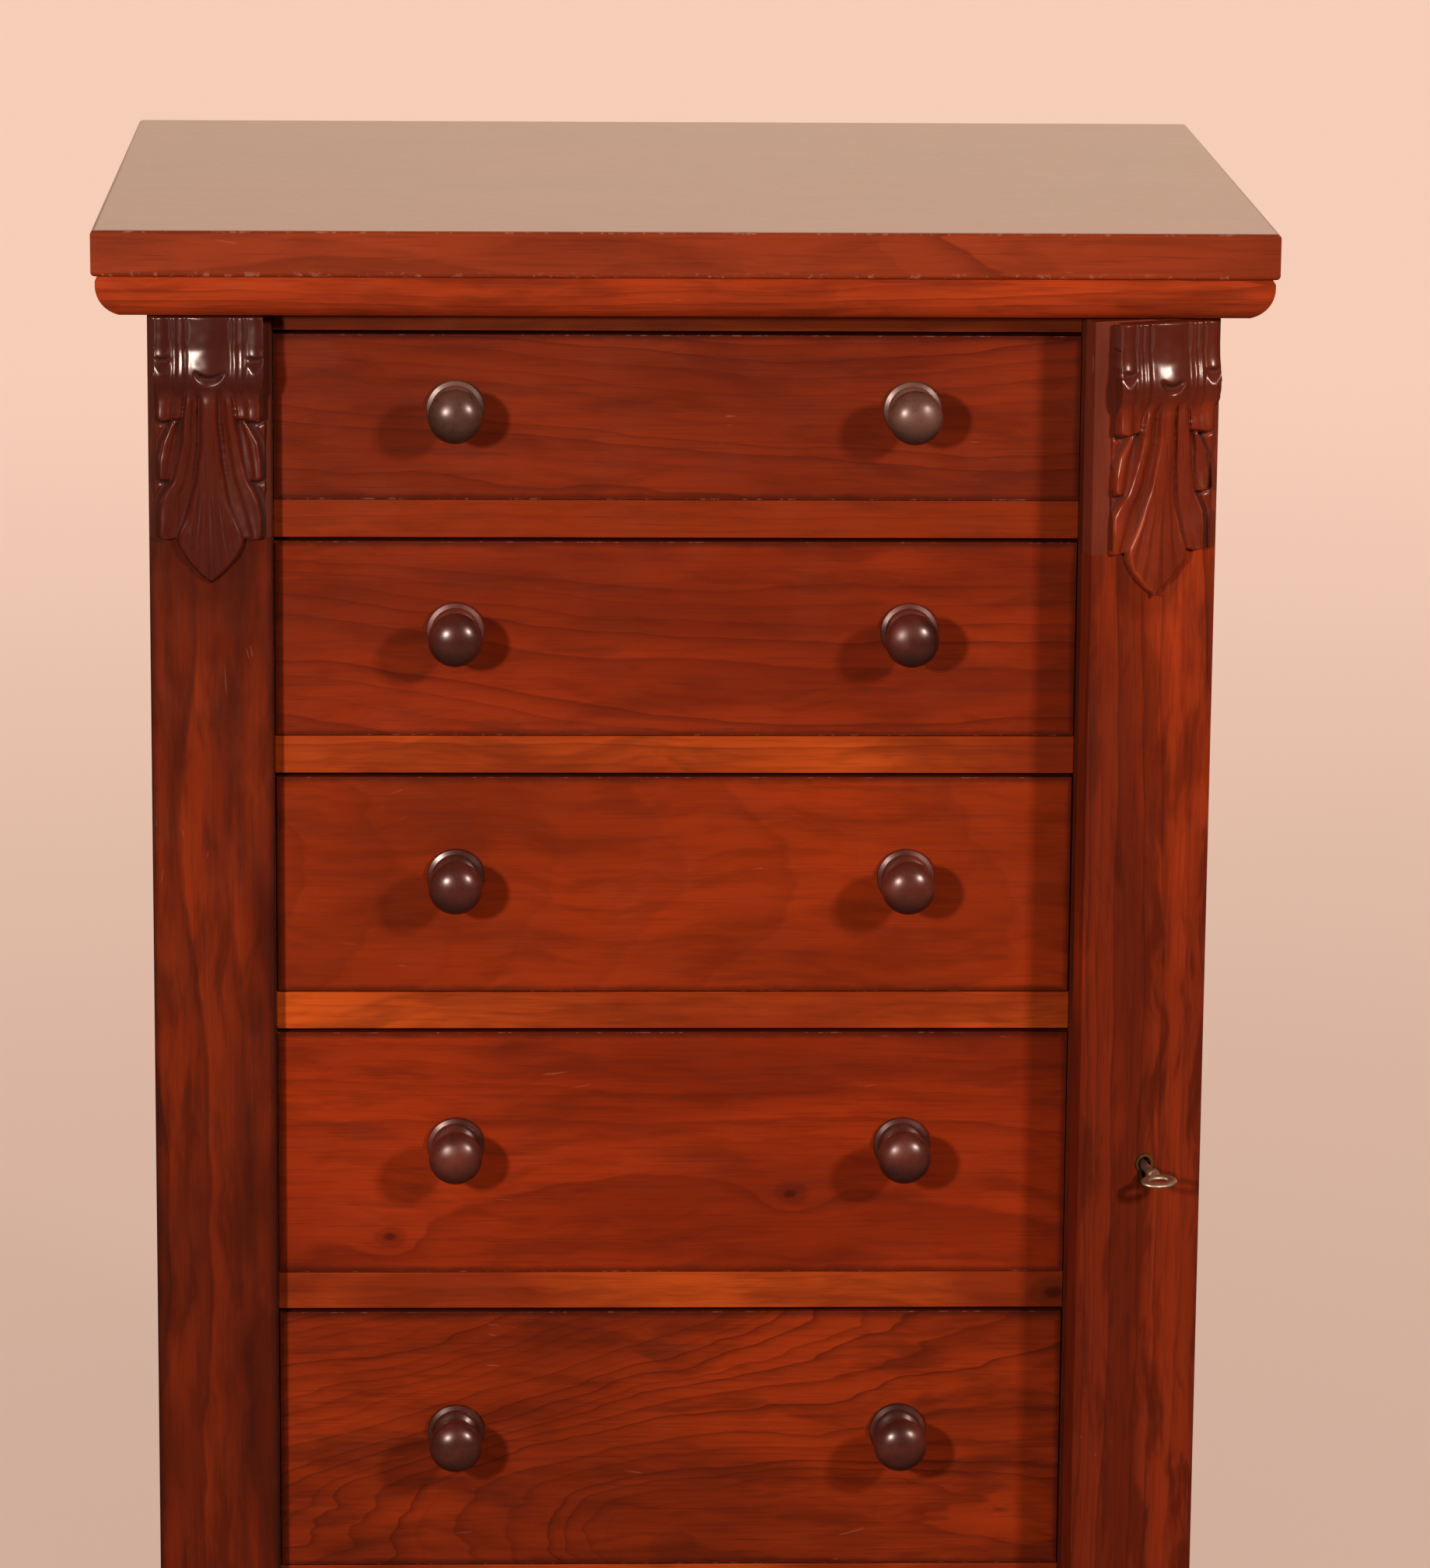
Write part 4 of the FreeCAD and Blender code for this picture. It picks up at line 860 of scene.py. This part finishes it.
def petal_height(side, drop, leaf_edge, ground):
    """Three tiers of petals over the ground. Each has an outer edge and a level hem."""
    lower = eased(drop, *LOWER_OUTER)
    outer = (eased(drop, *UPPER_OUTER), np.full_like(drop, 27.7), lower)
    lift = (4.6 + 1.6 * np.clip((drop - 56) / 31, 0, 1) ** 1.4, 8.6 + 0.6 * smooth(46, 55, drop),
            eased(drop, *LOWER_LIFT))
    height, nearest = ground, np.full_like(drop, FAR_OUTSIDE)
    for edge, rise, foot, start in zip(outer, lift, PETAL_FEET, (lower, lower, leaf_edge)):
        arch = 0.8 * np.sin(np.clip((edge - side) / 9, 0, 1) * math.pi)
        hem = foot + arch - 1.2 * smooth(edge - 3, edge + 1, side)
        here = np.minimum(edge - side, hem - drop)
        share = (edge - side) / np.maximum(edge - start, 1)
        face = rise + 0.9 * ridge(share, 0.3, 0.32) - 1.5 * ridge(share, 0.86, 0.36)
        face = np.maximum(face * smooth(SOFT_RIM, 0.8, here) ** 0.6, 0.4)
        height = np.where(here > SOFT_RIM, face, height)
        nearest = np.maximum(nearest, here)
    sunk = height - 1.2 * ridge(nearest, -1.6, 1.8) * (ground > 0)
    return np.where(nearest < SOFT_RIM, sunk, height)


def gouged(height, across, drop, centre, top, half, sag, depth, cut):
    """A half-moon gouge cut: deep at its upper lip, running out at its round foot."""
    reach = np.clip(np.abs(across - centre) / half, 0, 1)
    foot = top + np.sqrt(1 - reach ** 2) * depth
    lip = top + sag * (1 - reach ** 2)
    share = np.clip(1 - (drop - lip) / np.maximum(foot - lip, 0.1), 0, 1)
    inside = (reach < 1) & (drop > lip) & (drop < foot)
    return height - np.where(inside, cut * share * (1 - reach ** 4), 0)


def corbel_relief(across, drop, cup, vein, low, bend):
    """Height over the board, and how far inside the outline each point lies.

    'cup' is the middle gouge's half width, 'vein' shifts the flutes, 'low' lowers the scroll and
    'bend' draws the foot to one side.
    """
    drop = drop - low * smooth(0, 24, drop)
    middle = across + bend * smooth(30, 140, drop)
    side = np.abs(middle)
    leaf_edge = eased(drop, *LEAF_HALF_WIDTH)
    within = leaf_edge - side
    ground = np.where(drop < GROUND_FOOT, GROUND_RISE - 1.0 * smooth(60, 110, drop), 0.0)
    height = petal_height(side, drop, leaf_edge, ground)
    leaf = leaf_height(middle, drop, leaf_edge, vein) * smooth(SOFT_RIM, 1.2, within) ** 0.5
    height = np.where(within > SOFT_RIM, leaf, height)
    under = smooth(SCROLL_FADE, SCROLL_FOOT, drop)
    scroll = scroll_height(side, drop, low) * (1 - under)
    height = np.where(drop < SCROLL_FOOT, scroll + height * under, height)
    inside = np.where(drop < GROUND_FOOT, GROUND_HALF - np.abs(across), FAR_OUTSIDE)
    for gouge in ((0.3, 29.0 - 0.6 * low, cup, 3.0, 8.4, 4.2), (-23.9, *SIDE_GOUGE),
                  (23.9, *SIDE_GOUGE)):
        height = gouged(height, across, drop, *gouge)
    return height, np.maximum(inside, within)


left_cut = dict(cup=7.8, vein=0.0, low=0.0, bend=0.0)
right_cut = dict(cup=6.6, vein=0.5, low=3.5, bend=3.4)
sample = corbel_relief(np.zeros(300), np.linspace(0, 140, 300), **left_cut)[0]
print("highest point of the relief:", round(float(sample.max()), 2), "mm")

# %% [markdown]
# ## From relief to wood
# The grid's points outside the leaf are dropped, and a skirt runs from the rim back into the board,
# so that no gap shows. A second value at each point, how far it lies under its surroundings, goes
# along as an attribute: the hollows are darkened and dulled, part dirt and part painted shade, the
# top of the scroll under the moulding gets a painted shadow, and the ridges wear pale.
#
# The right corbel and the key are drawn on the stile as it stands shut, and one function swings
# their points. The frame knows where the stile turns and how far it stands ajar.

# %% Carve
swing = next(joint for joint in frame["joints"] if joint["name"] == "stile_swing")
pivot_x, pivot_y, lock_level = swing["pos_m"]
ajar = math.radians(-swing["range_deg"][0])
stile_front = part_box("left_pilaster")[0][1]


def swung(x, y):
    """Where a point of the shut stile stands when the stile is ajar."""
    px, py = x - pivot_x, y - pivot_y
    return (pivot_x + px * math.cos(ajar) - py * math.sin(ajar),
            pivot_y + px * math.sin(ajar) + py * math.cos(ajar))


def softened(grid, rounds):
    """The grid blurred a little, several times over."""
    for _ in range(rounds):
        around = sum(np.roll(grid, way, axis) for axis in (0, 1) for way in (1, -1))
        grid = (grid * 2 + around) / 6
    return grid


def carve(name, middle, top, cut, material, body):
    """A corbel whose middle line stands at X 'middle' and whose top is at 'top', in metres."""
    step, half_width, length, lowest, highest, skirt = 0.35, 28.4, 145.0, 0.25, 13.45, -0.3
    across, drop = np.meshgrid(np.arange(-half_width, half_width, step),
                               np.arange(0.0, length, step))
    wobble = 0.25 * np.sin(drop * 0.11 + middle * 90) + 0.15 * np.sin(drop * 0.31 + middle * 40)
    height, inside = corbel_relief(across + wobble, drop, **cut)
    sunk = np.clip((softened(height, 24) - height) * 0.6, -1, 1)
    # Dirt and painted shade in the hollows, plus a painted shadow of the moulding over the scroll's
    # top.
    hollow_and_shade = softened(sunk, 8) + 0.08 * smooth(17, 12, drop)
    uneven = softened(np.random.default_rng(7).normal(0, 1, height.shape), 90) * 0.9
    height = np.clip(softened(height, 12) + uneven, lowest, highest)
    height = np.where(inside < SOFT_RIM, skirt, height)
    keep = inside > -0.8
    index = -np.ones(height.shape, int)
    index[keep] = np.arange(keep.sum())
    x, y = middle + across[keep] / 1000, stile_front - height[keep] / 1000
    if body == "swinging_stile":
        x, y = swung(x, y)
    points = np.stack([x, y, top - drop[keep] / 1000], 1)
    corners = np.stack([index[:-1, :-1], index[1:, :-1], index[1:, 1:], index[:-1, 1:]], -1)
    corners = corners.reshape(-1, 4)
    corners = corners[(corners >= 0).all(1)]
    mesh = bpy.data.meshes.new(name)
    mesh.from_pydata(points.tolist(), [], corners.tolist())
    for label, values in (("hollow_and_shade", hollow_and_shade), ("scroll", smooth(48, 34, drop))):
        attribute = mesh.attributes.new(label, "FLOAT", "POINT")
        attribute.data.foreach_set("value", values[keep].astype(np.float32))
    return shown(name, mesh, material, body)


def attribute_value(shader, label):
    node = shader.id_data.nodes.new("ShaderNodeAttribute")
    node.attribute_name = label
    return node.outputs["Fac"]


def carving_wood(name, light, dark, scroll, worn_colour, wear, seed):
    material, shader = new_material(name, 0.4, (1, 0.76, 0.64, 1))
    where = board_vector(shader, "upright")
    fine = place_group(pore_streaks, where, Seed=seed, Fineness=800.0)
    rub = place_group(knocks, where, Seed=seed)["Rub"]
    hollow_and_shade = attribute_value(shader, "hollow_and_shade")
    high = times(ramp(hollow_and_shade, -0.02, -0.3), rub)
    colour = blend(fine["Cloud"], seen(*light), seen(*dark))
    colour = stain(colour, fine["Streak"], 0.5, [channel * 0.7 for channel in dark])
    colour = stain(colour, high, wear, worn_colour)
    colour = stain(colour, attribute_value(shader, "scroll"), 0.8, scroll)
    # Hollows darkened: dirt, and painted shade.
    colour = stain(colour, ramp(hollow_and_shade, 0.03, 0.5), 0.7, (34, 14, 10))
    dirty = ramp(hollow_and_shade, 0.02, 0.2, 0.0, 0.9)
    dull = maths("MAXIMUM", ramp(rub, 0.0, 1.0, 0.24, 0.38), dirty)
    fill(shader, Base_Color=colour, Roughness=dull)
    return material


left_wood = carving_wood("mahogany_carving_left", (88, 27, 14), (56, 18, 11), (62, 21, 14),
                         (130, 42, 18), 0.3, 2.0)
right_wood = carving_wood("mahogany_carving_right", (142, 45, 16), (98, 29, 12), (76, 26, 16),
                          (180, 68, 24), 0.6, 5.0)
for side, middle, cut, wood, body in (
        ("left", pilaster_middle, left_cut, left_wood, "carcase"),
        ("right", keyhole_line, right_cut, right_wood, "swinging_stile")):
    node = side + "_corbel"
    corbel = carve("carved_corbel_" + side, middle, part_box(node)[1][2], cut, wood, body)
    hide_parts(node)
    print(corbel.name, "with", len(corbel.data.vertices), "points")

# %% [markdown]
# ## The key
# The small key hangs in the lock, its outer end a little low and its bow level. It is a spun shank
# with a collar, a bow swept along an oval and a flat bit, and it rides on the body that turns.

# %% Key
key_hinge = Vector((keyhole_line, -0.20011, lock_level))
droop = math.radians(12)
shut_face = 0.0067
shank = [(-0.0033, 0.0), (-0.0033, 0.0019), (-0.0028, 0.0023), (0.0215, 0.0023), (0.0217, 0.0030),
         (0.0222, 0.0036), (0.0243, 0.0036), (0.0250, 0.0030), (0.0252, 0.0)]
shank_steps, key_crispness = 32, 45
bow_middle, bow_half_width, bow_half_length = 0.031, 0.00765, 0.00475
wire_half, wire_swell, wire_half_height = 0.0022, 0.0003, 0.0013
bow_rings, wire_steps = 48, 14
bit_sides, bit_outs, bit_ups = (-0.006, 0.0), (-0.0032, -0.0008), (-0.001, 0.001)
box_faces = ((0, 1, 3, 2), (4, 6, 7, 5), (0, 4, 5, 1), (2, 3, 7, 6), (0, 2, 6, 4), (1, 5, 7, 3))


def key_point(side, out, up):
    """A point of the key: 'out' along its shank from the drawers' front, 'up' across its bow."""
    back = shut_face - out
    y = key_hinge.y + back * math.cos(droop) - up * math.sin(droop)
    z = key_hinge.z + back * math.sin(droop) + up * math.cos(droop)
    return Vector((*swung(key_hinge.x + side, y), z))


start = key_point(0, 0, 0)
points, faces = spun(shank, start, key_point(0, 1, 0) - start, shank_steps)
base = len(points)
for ring in range(bow_rings):
    angle = 2 * math.pi * ring / bow_rings
    wire = wire_half + wire_swell * math.cos(angle) ** 2
    for step in range(wire_steps):
        turn = 2 * math.pi * step / wire_steps
        side = (bow_half_width + wire * math.cos(turn)) * math.cos(angle)
        out = bow_middle + (bow_half_length + wire * math.cos(turn)) * math.sin(angle)
        points.append(key_point(side, out, wire_half_height * math.sin(turn)))
for ring in range(bow_rings):
    here, there = base + ring * wire_steps, base + (ring + 1) % bow_rings * wire_steps
    for step in range(wire_steps):
        after = (step + 1) % wire_steps
        faces.append((here + step, there + step, there + after, here + after))
base = len(points)
points += [key_point(side, out, up) for side in bit_sides for out in bit_outs for up in bit_ups]
faces += [tuple(base + corner for corner in face) for face in box_faces]
key = new_object("lock_key", points, faces, key_metal, "turning_key", key_crispness)
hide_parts("key")
print("key with", len(key.data.vertices), "points")

# %% [markdown]
# ## Floor, lamps and background
# Two soft lamps high on the left and right give each knob its pair of highlights and shadows, as in
# the photograph. Rays from the camera see floor and world in one pale tone, whatever light falls
# there, and the floor glows a little less near the chest, a painted shade. Reflections see a wall
# behind the chest.

# %% Floor and world
paper, sheen = seen(236, 197, 176), seen(234, 197, 170)
backdrop_glow, near_glow, glow_reach, floor_half = 1.07, 0.68, 6.0, 30
base_light = 0.05

floor_mesh = bpy.data.meshes.new("floor")
corners = [(x * floor_half, y * floor_half, 0) for x, y in ((-1, -1), (1, -1), (1, 1), (-1, 1))]
floor_mesh.from_pydata(corners, [], [(0, 1, 2, 3)])
floor = bpy.data.objects.new("floor", floor_mesh)
bpy.context.scene.collection.objects.link(floor)
floor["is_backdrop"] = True
floor_material, shader = new_material("floor_paper", 0.1)
floor_mesh.materials.append(floor_material)
camera_ray = shader.id_data.nodes.new("ShaderNodeLightPath").outputs["Is Camera Ray"]
away = vectors("LENGTH", coordinates(shader, "Object"))
# Painted shade on the backdrop: it glows less near the chest.
glow = times(camera_ray, ramp(away, 0.0, glow_reach, near_glow, backdrop_glow))
fill(shader, Base_Color=seen(128, 108, 96), Roughness=0.9, Emission_Color=paper,
     Emission_Strength=glow)

world = bpy.data.worlds.new("room")
bpy.context.scene.world = world
world.use_nodes = True
backdrop = world.node_tree.nodes["Background"]
path = world.node_tree.nodes.new("ShaderNodeLightPath").outputs
camera_ray = path["Is Camera Ray"]
mirrored = maths("MAXIMUM", path["Is Glossy Ray"], path["Is Transmission Ray"])
way = split(coordinates(backdrop, "Generated"))
wall = times(ramp(way["Y"], 0.0, 0.7, 0.08, 1.02), ramp(way["X"], -0.18, 0.18, 0.95, 1.08))
strength = plus(plus(times(mirrored, wall), base_light), times(camera_ray, backdrop_glow))
fill(backdrop, Color=blend(camera_ray, sheen, paper), Strength=strength)
print("floor and world ready")

# %% Lamps
lamp_aim = Vector((0, -0.2, 0.62))


def soft_lamp(name, place, size, power):
    """A square lamp aimed at the middle of the chest's front."""
    data = bpy.data.lights.new(name, "AREA")
    data.shape = "SQUARE"
    data.size = size
    data.energy = power
    facing = (Vector(place) - lamp_aim).to_track_quat("Z", "Y").to_matrix().to_4x4()
    made = bpy.data.objects.new(name, data)
    made.matrix_world = Matrix.Translation(place) @ facing
    bpy.context.scene.collection.objects.link(made)


soft_lamp("lamp_left", (-1.3, -2.6, 1.45), 0.2, 57)
soft_lamp("lamp_right", (1.74, -2.2, 1.85), 0.28, 50)
bpy.context.scene.view_settings.view_transform = "Standard"
print("two lamps")

# %% [markdown]
# ## Finish
# The script prints the box that the visual model fills. The visual model must fill the
# same box as the CAD model.

# %% Sizes and finish
low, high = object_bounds()
print("visual box:", [round(v, 4) for v in low], [round(v, 4) for v in high])
